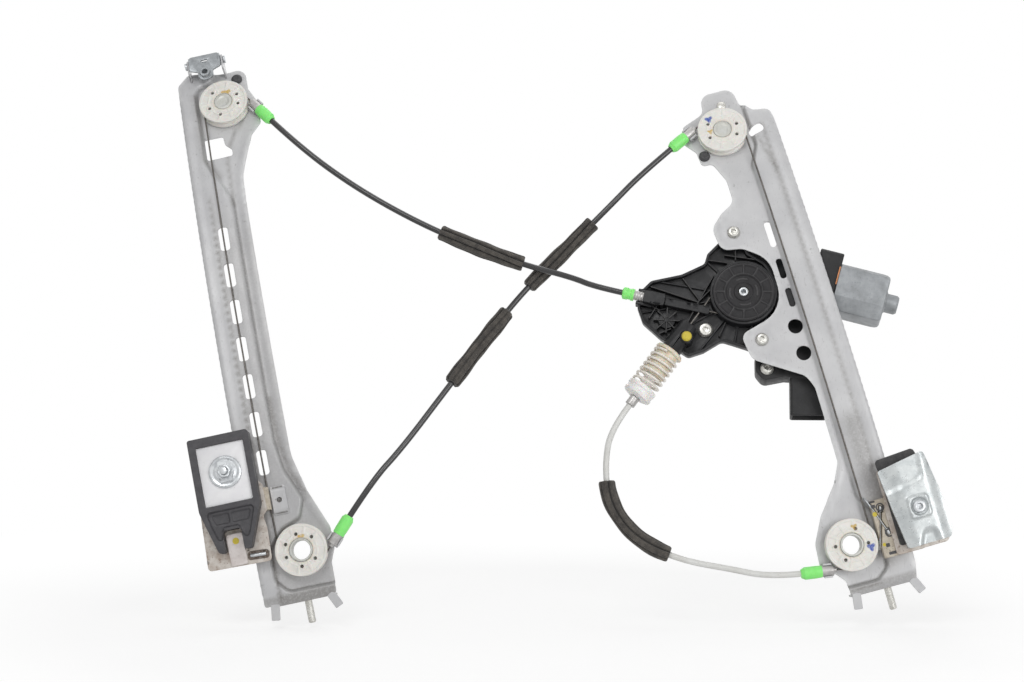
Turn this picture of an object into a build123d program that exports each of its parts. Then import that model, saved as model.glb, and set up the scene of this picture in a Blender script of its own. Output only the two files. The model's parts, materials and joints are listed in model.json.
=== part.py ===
"""Window regulator with two curved rails, a cable loop and a worm-geared motor.

Millimetres, +Z up, seen from the outer side of the door along +Y, with +X to the right.
The origin is where the right rail's lower stud leaves its flange. Both carriers stand at the
foot of their rails, which is the window-down position.
"""
import os
from dataclasses import dataclass
from math import asin, atan2, cos, degrees, hypot, pi, radians, sin, tan

from build123d import *

# Rails: one pressed sheet each, bent about a far axis that lies behind the door
RAIL_RADIUS = 1300.0
LEAN_AT_FOOT = 8.0
SHEET = 1.5
TRAY_DEPTH = 4.0
RAIL_SPAN = 439.2
LEFT_FOOT_DROP = 4.0
LEFT_TILT = 12.1
RIGHT_TILT = 15.0
LEFT_REACH = 379.0
RIGHT_REACH = 353.5
LIP_DEPTH = 8.0
LEFT_GUIDE_EDGE = -38.5
RIGHT_GUIDE_EDGE = 46.5

# Lower flanges with their studs
FLANGE_HEIGHT = -38.5
FLANGE_DEPTH = 20.0
STUD_RADIUS = 3.0
STUD_LENGTH = 18.0
STUD_SETBACK = 9.0
STUD_HEAD_RADIUS = 5.5
STUD_HEAD = 2.0
STUD_KNURL_RADIUS = 3.3
LEFT_STUD_ACROSS = -4.0
RIGHT_STUD_ACROSS = 20.0
UPPER_STUD_ACROSS = 7.0
UPPER_STUD_HEIGHT = 378.5

# Cable and pulleys
CABLE_RADIUS = 0.75
PITCH_RADIUS = 18.0
PULLEY_RADIUS = 21.0
PULLEY_WIDTH = 9.6
PULLEY_GAP = 0.4
RUNNING_GAP = 0.08
UPPER_AXLE_RADIUS = 6.4
UPPER_HEAD_RADIUS = 7.7
EYELET_RADIUS = 8.5
EYELET_BORE = 7.6
EYELET_LIP_RADIUS = 9.4
HEAD_THICKNESS = 1.2
HEAD_RECESS = 1.5
CABLE_PROUD = PULLEY_GAP + PULLEY_WIDTH / 2 - TRAY_DEPTH
PULLEY_FACE = PULLEY_GAP + PULLEY_WIDTH - TRAY_DEPTH

# Conduits and their end fittings
CONDUIT_RADIUS = 2.5
FERRULE_RADIUS = 4.2
FERRULE_START = 17.0
FERRULE_NOSE = 14.6
FERRULE_END = 32.0
COLLAR_RADIUS = 5.1
COLLAR_START = 26.0
COLLAR_END = 43.0
SLEEVE_RADIUS = 7.2
SEAT_GAP = 0.1
LEAD_RUN = 44.0

# Carriers
SLIDE_GAP = 0.3
CARRIER_BACK = 8.0
CARRIER_SHEET = 1.5
TRAVEL = 296.0

# Drive
DRIVE_ACROSS = -24.3
DRIVE_HEIGHT = 217.5
MOTOR_TURN = -31.0
DRUM_PITCH_RADIUS = 20.5
DRUM_TOP = -1.5
DRUM_WIDTH = 10.6
DRUM_FLANGE_RADIUS = 23.0
SHAFT_RADIUS = 3.7
HOUSING_FRONT = -6.8
HOUSING_BACK = -15.5
HOUSING_FLOOR = 3.0
HOUSING_WALL = 2.2
DRUM_WELL_RADIUS = 24.5
DRUM_WALL_RADIUS = 27.5
COVER_BACK = -1.0
COVER_THICKNESS = 2.5
WHEEL_MODULE = 1.0
WHEEL_TEETH = 54
WORM_PITCH_RADIUS = 4.5
WORM_LEVEL = -30.0
WHEEL_WIDTH = 5.0
GEARCASE_RADIUS = 33.0
GEARCASE_BACK = -42.0
GEARCASE_WALL = 2.5
LID_THICKNESS = 2.5
CAN_HEIGHT = 42.0
CAN_THICKNESS = 32.0
CAN_WALL = 1.8
CAN_START = 72.0
CAN_END = 114.0
BOSS_END = 125.0
BOSS_RADIUS = 8.0
MOTOR_SHAFT_RADIUS = 2.5

WHEEL_PITCH_RADIUS = WHEEL_MODULE * WHEEL_TEETH / 2
WORM_OFFSET = WHEEL_PITCH_RADIUS + WORM_PITCH_RADIUS
CABLE_LEVEL = DRUM_TOP - DRUM_WIDTH / 2

DEEP = 400.0

os.makedirs("parts", exist_ok=True)


@dataclass(frozen=True)
class Rail:
    """A curved rail, placed by the centre of its lower pulley and by its tilt in the door."""

    foot: Vector
    tilt: float

    @property
    def across(self) -> Vector:
        return Vector(cos(radians(self.tilt)), 0, sin(radians(self.tilt)))

    @property
    def up(self) -> Vector:
        return Vector(-sin(radians(self.tilt)), 0, cos(radians(self.tilt)))

    @property
    def centre(self) -> Vector:
        """The point of the curvature axis beside the lower pulley."""
        lean = radians(LEAN_AT_FOOT)
        return self.foot + Vector(0, RAIL_RADIUS * cos(lean), 0) - self.up * (RAIL_RADIUS * sin(lean))

    @property
    def axis(self) -> Axis:
        return Axis(self.centre, self.across)

    def lean(self, height: float) -> float:
        """Lean of the rail in degrees at a height over the lower pulley."""
        return degrees(asin(height / RAIL_RADIUS + sin(radians(LEAN_AT_FOOT))))

    def arc(self, low: float, high: float) -> float:
        return self.lean(high) - self.lean(low)

    def outward(self, height: float) -> Vector:
        lean = radians(self.lean(height))
        return Vector(0, -cos(lean), 0) + self.up * sin(lean)

    def along(self, height: float) -> Vector:
        lean = radians(self.lean(height))
        return Vector(0, sin(lean), 0) + self.up * cos(lean)

    def point(self, across: float, height: float, proud: float = 0.0) -> Vector:
        return self.centre + self.across * across + self.outward(height) * (RAIL_RADIUS + proud)

    def face(self, across: float, height: float, proud: float = 0.0) -> Plane:
        """Plane on the front face, its normal out of the face and its X across the rail."""
        origin = self.point(across, height, proud)
        return Plane(origin=origin, x_dir=self.across, z_dir=self.outward(height))

    def radial(self, height: float) -> Plane:
        """Cross-section plane: X across the rail, Y the distance from the curvature axis."""
        return Plane(origin=self.centre, x_dir=self.across, z_dir=-self.along(height))

    def side(self, across: float, height: float, proud: float = 0.0) -> Plane:
        """Plane square to the rail's width: X out of the face, Y up the rail."""
        origin = self.point(across, height, proud)
        return Plane(origin=origin, x_dir=self.outward(height), z_dir=-self.across)

    @property
    def front(self) -> Plane:
        """Upright plane through the lower pulley, for outlines as the door shows them."""
        return Plane(origin=self.foot, x_dir=self.across, z_dir=(0, -1, 0))


def stud_offset(tilt: float, across: float) -> Vector:
    """Place of a lower stud's shoulder, seen from the lower pulley of its rail."""
    rail = Rail(Vector(0, 0, 0), tilt)
    shoulder = rail.along(FLANGE_HEIGHT) * SHEET
    return rail.point(across, FLANGE_HEIGHT, -STUD_SETBACK) - shoulder


RIGHT = Rail(-stud_offset(RIGHT_TILT, RIGHT_STUD_ACROSS), RIGHT_TILT)
LEFT = Rail(RIGHT.foot + Vector(-RAIL_SPAN, 0, -LEFT_FOOT_DROP), LEFT_TILT)


def keep(part: Part, name: str) -> Part:
    """Label a finished piece and write it."""
    part.label = name
    export_step(part, f"parts/{name}.step")
    return part


def spun(plane: Plane, angle: float) -> Plane:
    """Plane turned about its own normal."""
    turn = radians(angle)
    x_dir = plane.x_dir * cos(turn) + plane.y_dir * sin(turn)
    return Plane(origin=plane.origin, x_dir=x_dir, z_dir=plane.z_dir)


def outline(plane: Plane, corners: list) -> Sketch:
    """Closed outline through corners given as x, y and corner radius."""
    with BuildSketch(plane) as shape:
        with BuildLine():
            FilletPolyline(*[(x, y) for x, y, _ in corners], radius=[r for _, _, r in corners], close=True)
        make_face()
    return shape.sketch


def band(rail: Rail, left: float, right: float, inner: float, outer: float, low: float, high: float) -> Part:
    """Curved bar between two distances out of the front face, bent with the rail."""
    with BuildPart() as bar:
        with BuildSketch(rail.radial(high)) as section:
            with Locations(((left + right) / 2, RAIL_RADIUS + (inner + outer) / 2)):
                Rectangle(right - left, outer - inner)
        revolve(section.sketch, axis=rail.axis, revolution_arc=rail.arc(low, high))
    return bar.part


def curved_plate(rail: Rail, corners: list, inner: float, outer: float) -> Part:
    """Sheet of any outline, bent with the rail, between two distances out of its face."""
    xs = [x for x, _, _ in corners]
    zs = [z for _, z, _ in corners]
    with BuildPart() as plate:
        add(band(rail, min(xs) - 1, max(xs) + 1, inner, outer, min(zs) - 12, max(zs) + 12))
        extrude(outline(rail.front, corners), amount=DEEP, both=True, mode=Mode.INTERSECT)
    return plate.part


def round_bar(plane: Plane, radius: float, start: float, end: float) -> Part:
    """Cylinder along a plane's normal, between two levels."""
    with BuildPart() as bar:
        with BuildSketch(plane.offset(start)) as disc:
            Circle(radius)
        extrude(disc.sketch, amount=end - start)
    return bar.part


def turned(plane: Plane, half_section: list) -> Part:
    """Body of revolution about a plane's normal, from radius and level pairs."""
    with BuildPart() as body:
        section_plane = Plane(origin=plane.origin, x_dir=plane.x_dir, z_dir=-plane.y_dir)
        with BuildSketch(section_plane) as section:
            with BuildLine():
                Polyline(*half_section, close=True)
            make_face()
        revolve(section.sketch, axis=Axis(plane.origin, plane.z_dir))
    return body.part


def tube(path: Wire, outer: float, inner: float = 0.0) -> Part:
    """Round tube or rod carried along a path of runs and arcs."""
    start = Plane(origin=path @ 0, z_dir=path % 0)
    with BuildPart() as body:
        with BuildSketch(start) as ring:
            Circle(outer)
            if inner > 0:
                Circle(inner, mode=Mode.SUBTRACT)
        sweep(ring.sketch, path=path)
    return body.part


# Guide rails

LEFT_OUTLINE = [
    (LEFT_GUIDE_EDGE, -40, 5), (LEFT_GUIDE_EDGE, 404, 6), (-28, 413, 4), (4, 410, 3), (21.5, 411, 8),
    (21.5, 392, 5), (28, 378, 4), (28, 359, 4), (19, 350, 6), (6, 316, 40), (5.2, 290, 30),
    (5.2, 76, 60), (13, 45, 20), (25.5, 14, 8), (25.5, -4, 6), (21, -14, 5), (20.5, -40, 3),
]
LEFT_TRAY = [
    (80, -31, 0), (-17, -30, 8), (-26.5, -19, 9), (-25.5, 6, 10), (-12, 20, 8), (3, 26, 7), (8, 40, 7),
    (-3, 66, 25), (-6.4, 90, 30), (-6, 296, 25), (-23.5, 330, 10), (-24, 398, 9), (-8, 403, 6),
    (-2, 440, 0), (80, 440, 0),
]
RIGHT_OUTLINE = [
    (-11, -40, 3), (-11, -27, 4), (-17, -20, 5), (-28.5, -12, 7), (-27, 8, 14), (-17, 27, 20),
    (1, 50, 14), (9, 66, 10), (9, 128, 10), (5, 139, 12), (-33, 163, 9), (-36.5, 185, 7),
    (4, 196, 26), (5, 240, 24), (-14, 254, 14), (-31, 257, 8), (-33, 277, 10), (-22, 287, 6),
    (-9, 294, 9), (-9, 314, 12), (-16, 331, 5), (-25, 331, 4), (-26, 344, 4), (-34, 354, 3),
    (-30, 369, 3), (-10, 376, 8),
    (-8, 392, 14), (20, 392, 13), (22, 376, 6), (31, 366, 8), (44, 364, 6), (RIGHT_GUIDE_EDGE, 355, 10),
    (RIGHT_GUIDE_EDGE, -24, 12), (43, -40, 4),
]
RIGHT_TRAY = [
    (-80, -32, 0), (14, -32, 8), (24, -24, 9), (24, 22, 9), (16, 36, 12), (16, 320, 12),
    (24.5, 336, 10), (24.5, 440, 0), (-80, 440, 0),
]
RAIL_SLOT_PITCH = 31.25
RAIL_SLOTS = 7


def pressed_rail(rail: Rail, edge: list, low_area: list) -> Part:
    """The rail's sheet: a guide strip, and a lower tray that holds pulleys and drive."""
    wide = 90
    top = max(z for _, z, _ in edge) + 12
    low = FLANGE_HEIGHT - 15
    with BuildPart() as tray_space:
        add(band(rail, -wide, wide, -TRAY_DEPTH, 1, low, top))
        extrude(outline(rail.front, low_area), amount=DEEP, both=True, mode=Mode.INTERSECT)
    with BuildPart() as back_space:
        add(band(rail, -wide, wide, -TRAY_DEPTH - SHEET - 1, -SHEET, low, top))
        with BuildSketch(rail.front) as grown:
            add(rail.front.to_local_coords(outline(rail.front, low_area)))
            offset(amount=SHEET, kind=Kind.ARC)
        extrude(grown.sketch, amount=DEEP, both=True, mode=Mode.SUBTRACT)
    with BuildPart() as sheet:
        add(band(rail, -wide, wide, -TRAY_DEPTH - SHEET, 0, low, top))
        extrude(outline(rail.front, edge), amount=DEEP, both=True, mode=Mode.INTERSECT)
        add(tray_space.part, mode=Mode.SUBTRACT)
        add(back_space.part, mode=Mode.SUBTRACT)
    return sheet.part


def lower_flange(rail: Rail, left: float, right: float) -> Part:
    """Flange bent back at the foot of a rail."""
    with BuildPart() as flange:
        with BuildSketch(rail.radial(FLANGE_HEIGHT)) as section:
            with Locations(((left + right) / 2, RAIL_RADIUS - FLANGE_DEPTH / 2)):
                Rectangle(right - left, FLANGE_DEPTH)
        extrude(section.sketch, amount=SHEET)
    return flange.part


def foot_tab(rail: Rail, across: float, lean_over: float) -> Part:
    """Narrow tab that points down from a corner of the lower flange."""
    length = 13
    width = 7
    set_in = 0.2
    plane = rail.face(across, FLANGE_HEIGHT, -set_in)
    with BuildPart() as tab:
        with BuildSketch(plane) as strip:
            with Locations(Location((0, 0, 0), (0, 0, lean_over))):
                with Locations((0, -length / 2 + 1)):
                    Rectangle(width, length)
        extrude(strip.sketch, amount=2 * set_in - SHEET)
    return tab.part


@dataclass(frozen=True)
class CableEnd:
    """Where a cable leaves a pulley towards its conduit."""

    rail: Rail
    height: float
    heading: float
    side: int

    @property
    def plane(self) -> Plane:
        """Plane of the groove: origin on the axle, X across the rail."""
        return self.rail.face(0, self.height, CABLE_PROUD)

    @property
    def tangent_angle(self) -> float:
        return self.heading + 90 * self.side

    def at(self, distance: float) -> Vector:
        """Point on the cable's line, at a distance from where it leaves the groove."""
        turn = radians(self.tangent_angle)
        heading = radians(self.heading)
        x = PITCH_RADIUS * cos(turn) + distance * cos(heading)
        y = PITCH_RADIUS * sin(turn) + distance * sin(heading)
        return self.plane.from_local_coords(Vector(x, y, 0))

    @property
    def line_plane(self) -> Plane:
        """Plane square to the cable's line, its normal towards the conduit."""
        return Plane(origin=self.at(0), z_dir=(self.at(1) - self.at(0)), x_dir=self.plane.z_dir)


LEFT_TOP = CableEnd(LEFT, LEFT_REACH, -58, 1)
LEFT_LOW = CableEnd(LEFT, 0, 46, -1)
RIGHT_TOP = CableEnd(RIGHT, RIGHT_REACH, -153, -1)
RIGHT_LOW = CableEnd(RIGHT, 0, 172, 1)
RAIL_ENDS = [LEFT_TOP, LEFT_LOW, RIGHT_TOP, RIGHT_LOW]
SEAT_START = 18.0
SEAT_LENGTH = 7.0
SEAT_WIDTH = 12.0


def ferrule_seat(end: CableEnd) -> Part:
    """Pressed cradle that holds a conduit's ferrule against the rail."""
    depth = TRAY_DEPTH + CABLE_PROUD + SHEET
    with BuildPart() as seat:
        with BuildSketch(end.line_plane.offset(SEAT_START)) as block:
            with Locations(((-depth) / 2 + 1, 0)):
                Rectangle(depth + 2, SEAT_WIDTH)
            Circle(FERRULE_RADIUS, mode=Mode.SUBTRACT)
            with Locations((FERRULE_RADIUS, 0)):
                Rectangle(2 * FERRULE_RADIUS, 2 * FERRULE_RADIUS, mode=Mode.SUBTRACT)
        extrude(block.sketch, amount=SEAT_LENGTH)
    return seat.part


def round_hole(rail: Rail, across: float, height: float, radius: float) -> Part:
    with BuildPart() as tool:
        with BuildSketch(rail.face(across, height)) as disc:
            Circle(radius)
        extrude(disc.sketch, amount=12, both=True)
    return tool.part


def box_hole(rail: Rail, across: float, height: float, width: float, length: float, corner: float) -> Part:
    with BuildPart() as tool:
        with BuildSketch(rail.face(across, height)) as shape:
            RectangleRounded(width, length, corner)
        extrude(shape.sketch, amount=12, both=True)
    return tool.part


LEFT_WINDOW = (-11.0, 343.5)
LEFT_PLUG = (13.2, 402.0)
RIGHT_PLUG = (-20.5, 338.6)
PLUG_RADIUS = 4.7
PLUG_STEM = 3.0
UPPER_LUG = (-16.8, 268.8)
LOWER_LUG = (-20.9, 176.9)
SCREW_RADIUS = 2.5
SCREW_HEAD_RADIUS = 5.5
BRACKET_NEAR = -26.0
BRACKET_FAR = 3.6
BRACKET_HEIGHT = 417.0
BRACKET_PROUD = 6.0
PIN_RADIUS = 2.0


def bracket_ear(across: float, root: float) -> Part:
    """Ear of the left rail's top edge that carries the bracket's pin."""
    with BuildPart() as ear:
        with BuildSketch(LEFT.side(across, BRACKET_HEIGHT)) as shape:
            with BuildLine():
                FilletPolyline((root, -14), (9.5, -10), (9.5, 5), (2, 5), (root, -5),
                               radius=[0, 2, 4, 2, 0], close=True)
            make_face()
            with Locations((BRACKET_PROUD, 0)):
                Circle(PIN_RADIUS + RUNNING_GAP, mode=Mode.SUBTRACT)
        extrude(shape.sketch, amount=-SHEET)
    return ear.part


with BuildPart() as left_rail:
    add(pressed_rail(LEFT, LEFT_OUTLINE, LEFT_TRAY))
    add(band(LEFT, LEFT_GUIDE_EDGE, LEFT_GUIDE_EDGE + SHEET, -LIP_DEPTH, 0, -32, 396))
    add(lower_flange(LEFT, -33, 19))
    add(foot_tab(LEFT, -29.5, -8))
    add(foot_tab(LEFT, 16, 25))
    add(bracket_ear(BRACKET_NEAR, -SHEET))
    add(bracket_ear(BRACKET_FAR, -SHEET - TRAY_DEPTH))
    for end in (LEFT_TOP, LEFT_LOW):
        add(ferrule_seat(end))
    add(band(LEFT, -16, -4, -0.5, 3, 31, 54))
    for k in range(RAIL_SLOTS):
        add(box_hole(LEFT, -18.3, 74.5 + k * RAIL_SLOT_PITCH, 9.5, 20, 2.5), mode=Mode.SUBTRACT)
    add(box_hole(LEFT, *LEFT_WINDOW, 22, 19, 3), mode=Mode.SUBTRACT)
    add(round_hole(LEFT, 0, LEFT_REACH, UPPER_AXLE_RADIUS), mode=Mode.SUBTRACT)
    add(round_hole(LEFT, 0, 0, EYELET_RADIUS), mode=Mode.SUBTRACT)
    add(round_hole(LEFT, *LEFT_PLUG, PLUG_STEM), mode=Mode.SUBTRACT)
    add(round_hole(LEFT, -10, 42.5, 1.6), mode=Mode.SUBTRACT)
    with BuildSketch(LEFT.radial(FLANGE_HEIGHT)):
        with Locations((LEFT_STUD_ACROSS, RAIL_RADIUS - STUD_SETBACK)):
            Circle(STUD_KNURL_RADIUS)
    extrude(amount=SHEET, mode=Mode.SUBTRACT)
keep(left_rail.part, "left_rail")

with BuildPart() as right_rail:
    add(pressed_rail(RIGHT, RIGHT_OUTLINE, RIGHT_TRAY))
    add(band(RIGHT, RIGHT_GUIDE_EDGE - SHEET, RIGHT_GUIDE_EDGE, -LIP_DEPTH, 0, -20, 350))
    add(lower_flange(RIGHT, -10.5, 42.5))
    add(foot_tab(RIGHT, -6.5, -8))
    add(foot_tab(RIGHT, 40, 25))
    for end in (RIGHT_TOP, RIGHT_LOW):
        add(ferrule_seat(end))
    for height, length in ((259.5, 22), (229.5, 17), (204.5, 16)):
        add(box_hole(RIGHT, 11.8, height, 5, length, 2.2), mode=Mode.SUBTRACT)
    for height in (180.4, 157.6):
        add(round_hole(RIGHT, 8.6, height, 6), mode=Mode.SUBTRACT)
    add(box_hole(RIGHT, 31, 348, 8, 12, 2), mode=Mode.SUBTRACT)
    for lug in (UPPER_LUG, LOWER_LUG):
        add(round_hole(RIGHT, *lug, SCREW_RADIUS), mode=Mode.SUBTRACT)
    add(round_hole(RIGHT, 0, RIGHT_REACH, UPPER_AXLE_RADIUS), mode=Mode.SUBTRACT)
    add(round_hole(RIGHT, 0, 0, EYELET_RADIUS), mode=Mode.SUBTRACT)
    add(round_hole(RIGHT, *RIGHT_PLUG, PLUG_STEM), mode=Mode.SUBTRACT)
    add(round_hole(RIGHT, UPPER_STUD_ACROSS, UPPER_STUD_HEIGHT, STUD_KNURL_RADIUS), mode=Mode.SUBTRACT)
    with BuildSketch(RIGHT.radial(FLANGE_HEIGHT)):
        with Locations((RIGHT_STUD_ACROSS, RAIL_RADIUS - STUD_SETBACK)):
            Circle(STUD_KNURL_RADIUS)
    extrude(amount=SHEET, mode=Mode.SUBTRACT)
keep(right_rail.part, "right_rail")


# Pulleys with their axles


def pulley(end: CableEnd, bore: float, recess: float) -> Part:
    """Grooved plastic pulley with pockets between ribs in its face."""
    plane = end.rail.face(0, end.height, PULLEY_GAP - TRAY_DEPTH)
    groove = PITCH_RADIUS - CABLE_RADIUS - 0.1
    middle = PULLEY_WIDTH / 2
    half_section = [
        (bore, 0), (PULLEY_RADIUS, 0), (PULLEY_RADIUS, middle - 2.4), (groove, middle - 0.9),
        (groove, middle + 0.9), (PULLEY_RADIUS, middle + 2.4), (PULLEY_RADIUS, PULLEY_WIDTH),
        (recess, PULLEY_WIDTH), (recess, PULLEY_WIDTH - HEAD_RECESS), (bore, PULLEY_WIDTH - HEAD_RECESS),
    ]
    with BuildPart() as wheel:
        add(turned(plane, half_section))
        with BuildSketch(plane.offset(PULLEY_WIDTH)) as pockets:
            with PolarLocations(15.6, 10, start_angle=18):
                RectangleRounded(5.4, 5.2, 1.2)
        extrude(pockets.sketch, amount=-1.3, mode=Mode.SUBTRACT)
        with BuildSketch(plane) as holes:
            with PolarLocations(13.2, 5):
                Circle(1.5)
        extrude(holes.sketch, amount=PULLEY_WIDTH, mode=Mode.SUBTRACT)
    return wheel.part


PULLEYS = {
    "left_upper_pulley": (LEFT_TOP, UPPER_AXLE_RADIUS, UPPER_HEAD_RADIUS),
    "left_lower_pulley": (LEFT_LOW, EYELET_RADIUS, EYELET_LIP_RADIUS),
    "right_upper_pulley": (RIGHT_TOP, UPPER_AXLE_RADIUS, UPPER_HEAD_RADIUS),
    "right_lower_pulley": (RIGHT_LOW, EYELET_RADIUS, EYELET_LIP_RADIUS),
}
for name, (end, shaft, head) in PULLEYS.items():
    keep(pulley(end, shaft + RUNNING_GAP, head + 0.3), name)


def axle(end: CableEnd, shaft: float, head: float, bore: float) -> Part:
    """Clinched axle from behind the rail's tray to the pulley's face."""
    plane = end.rail.face(0, end.height, -TRAY_DEPTH)
    top = PULLEY_GAP + PULLEY_WIDTH
    under = top - HEAD_THICKNESS
    seat = -SHEET - head**2 / (2 * RAIL_RADIUS)
    back = seat - HEAD_THICKNESS
    half_section = [
        (bore, back), (head, back), (head, seat), (shaft, seat), (shaft, under), (head, under),
        (head, top), (bore, top),
    ]
    return turned(plane, half_section)


with BuildPart() as upper_axles:
    for end in (LEFT_TOP, RIGHT_TOP):
        add(axle(end, UPPER_AXLE_RADIUS, UPPER_HEAD_RADIUS, 0))
keep(upper_axles.part, "upper_axles")

with BuildPart() as lower_eyelets:
    for end in (LEFT_LOW, RIGHT_LOW):
        add(axle(end, EYELET_RADIUS, EYELET_LIP_RADIUS, EYELET_BORE))
keep(lower_eyelets.part, "lower_eyelets")


# Fasteners of the rails


def rail_plug(rail: Rail, across: float, height: float) -> Part:
    """Domed plastic plug in its hole, with a barb behind the sheet."""
    plane = rail.face(across, height, -TRAY_DEPTH)
    half_section = [
        (0, -SHEET - 4), (PLUG_STEM - 1, -SHEET - 4), (PLUG_STEM + 0.8, -SHEET - 1.2), (PLUG_STEM, -SHEET),
        (PLUG_STEM, 0), (PLUG_RADIUS, 0), (PLUG_RADIUS, 1.6), (PLUG_RADIUS - 1.4, 3.2), (0, 4),
    ]
    return turned(plane, half_section)


with BuildPart() as locating_plugs:
    add(rail_plug(LEFT, *LEFT_PLUG))
    add(rail_plug(RIGHT, *RIGHT_PLUG))
keep(locating_plugs.part, "locating_plugs")


def lower_stud(rail: Rail, across: float) -> Part:
    """Threaded stud pressed through the lower flange."""
    down = rail.radial(FLANGE_HEIGHT)
    origin = rail.point(across, FLANGE_HEIGHT, -STUD_SETBACK)
    plane = Plane(origin=origin, x_dir=rail.across, z_dir=down.z_dir)
    half_section = [
        (0, -STUD_HEAD), (STUD_HEAD_RADIUS, -STUD_HEAD), (STUD_HEAD_RADIUS, 0), (STUD_KNURL_RADIUS, 0),
        (STUD_KNURL_RADIUS, SHEET), (STUD_RADIUS, SHEET), (STUD_RADIUS, SHEET + STUD_LENGTH - 1),
        (STUD_RADIUS - 0.8, SHEET + STUD_LENGTH),
        (0, SHEET + STUD_LENGTH),
    ]
    return turned(plane, half_section)


def upper_stud() -> Part:
    """Clinch stud over the right upper pulley, threaded behind the rail."""
    plane = RIGHT.face(UPPER_STUD_ACROSS, UPPER_STUD_HEIGHT, -TRAY_DEPTH)
    half_section = [
        (0, -SHEET - STUD_LENGTH), (STUD_RADIUS - 0.8, -SHEET - STUD_LENGTH),
        (STUD_RADIUS, -SHEET - STUD_LENGTH + 1), (STUD_RADIUS, -SHEET), (STUD_KNURL_RADIUS, -SHEET),
        (STUD_KNURL_RADIUS, 0), (STUD_KNURL_RADIUS + 0.6, 0), (STUD_KNURL_RADIUS + 0.6, 1.2),
        (STUD_RADIUS - 0.8, 2), (0, 2),
    ]
    return turned(plane, half_section)


with BuildPart() as mounting_studs:
    add(lower_stud(LEFT, LEFT_STUD_ACROSS))
    add(lower_stud(RIGHT, RIGHT_STUD_ACROSS))
    add(upper_stud())
keep(mounting_studs.part, "mounting_studs")


# Bracket that tilts on a pin at the top of the left rail

BRACKET_WEB = 10.0
NUT_STEM_RADIUS = 4.2
NUT_THREAD_RADIUS = 2.5
NUT_FRONT = 6.1
BRACKET_SIDE_GAP = 0.4

with BuildPart() as top_bracket:
    near = BRACKET_NEAR + SHEET + BRACKET_SIDE_GAP
    far = BRACKET_FAR - BRACKET_SIDE_GAP
    middle = (near + far) / 2
    width = far - near
    with BuildSketch(LEFT.face(middle, BRACKET_HEIGHT, BRACKET_WEB)) as web:
        with BuildLine():
            FilletPolyline(
                (-width / 2, -9), (-width / 2, 5), (width / 2, 5), (width / 2, -9), (6.5, -12),
                (6.5, -20), (-6.5, -20), (-6.5, -12), radius=[2, 3, 3, 2, 2, 4, 4, 2], close=True)
        make_face()
        with Locations((0, -1.5)):
            SlotOverall(6, 3, mode=Mode.SUBTRACT)
    extrude(web.sketch, amount=SHEET)
    for across in (near, far - SHEET):
        with BuildSketch(LEFT.side(across, BRACKET_HEIGHT)) as cheek:
            with Locations((BRACKET_PROUD + 1.6, 0)):
                RectangleRounded(8, 9, 1.5)
            with Locations((BRACKET_PROUD, 0)):
                Circle(PIN_RADIUS + RUNNING_GAP, mode=Mode.SUBTRACT)
        extrude(cheek.sketch, amount=-SHEET)
    with BuildSketch(LEFT.face(middle, BRACKET_HEIGHT, BRACKET_WEB)) as stud_hole:
        with Locations((0, -15.5)):
            Circle(NUT_STEM_RADIUS)
    extrude(stud_hole.sketch, amount=SHEET, mode=Mode.SUBTRACT)
keep(top_bracket.part, "top_bracket")

with BuildPart() as top_bracket_pin:
    start = LEFT.side(BRACKET_NEAR - 2.2, BRACKET_HEIGHT, BRACKET_PROUD)
    pin_plane = Plane(origin=start.origin, x_dir=LEFT.outward(BRACKET_HEIGHT), z_dir=LEFT.across)
    reach = BRACKET_FAR + SHEET + 2.2 - (BRACKET_NEAR - 2.2)
    add(turned(pin_plane, [
        (0, 0), (PIN_RADIUS + 1.2, 0), (PIN_RADIUS + 1.2, 2), (PIN_RADIUS, 2), (PIN_RADIUS, reach - 2),
        (PIN_RADIUS + 1.2, reach - 2), (PIN_RADIUS + 1.2, reach), (0, reach)]))
keep(top_bracket_pin.part, "top_bracket_pin")

with BuildPart() as top_bracket_nut:
    nut_point = LEFT.face(middle, BRACKET_HEIGHT, BRACKET_WEB).from_local_coords(Vector(0, -15.5, 0))
    nut_plane = Plane(origin=nut_point, x_dir=LEFT.across, z_dir=LEFT.outward(BRACKET_HEIGHT))
    add(turned(nut_plane, [
        (0, -2), (NUT_STEM_RADIUS, -2), (NUT_STEM_RADIUS, SHEET), (6.4, SHEET), (6.4, SHEET + 1.2),
        (0, SHEET + 1.2)]))
    with BuildSketch(nut_plane.offset(SHEET + 1.2)) as hexagon:
        RegularPolygon(5, 6)
    extrude(hexagon.sketch, amount=NUT_FRONT - SHEET - 1.2)
    add(round_bar(nut_plane, NUT_THREAD_RADIUS, -3, NUT_FRONT + 1), mode=Mode.SUBTRACT)
keep(top_bracket_nut.part, "top_bracket_nut")


# Cable on each rail, between its two pulleys


def groove_point(end: CableEnd, angle: float) -> Vector:
    turn = radians(angle)
    return end.plane.from_local_coords(Vector(PITCH_RADIUS * cos(turn), PITCH_RADIUS * sin(turn), 0))


def rail_cable(rail: Rail, top: CableEnd, bottom: CableEnd, angles: tuple) -> Part:
    """Wire rope from one ferrule over the upper pulley, down the rail and round the lower one."""
    first, line_angle, last_angle = angles
    across = PITCH_RADIUS * cos(radians(line_angle))
    middle = (top.height + bottom.height) / 2
    with BuildLine() as path:
        Line(top.at(FERRULE_NOSE + 4), top.at(0))
        ThreePointArc(top.at(0), groove_point(top, (first + line_angle) / 2), groove_point(top, line_angle))
        ThreePointArc(groove_point(top, line_angle), rail.point(across, middle, CABLE_PROUD),
                      groove_point(bottom, line_angle))
        ThreePointArc(groove_point(bottom, line_angle), groove_point(bottom, (line_angle + last_angle) / 2),
                      bottom.at(0))
        Line(bottom.at(0), bottom.at(FERRULE_NOSE + 4))
    return tube(path.wire(), CABLE_RADIUS)


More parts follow.
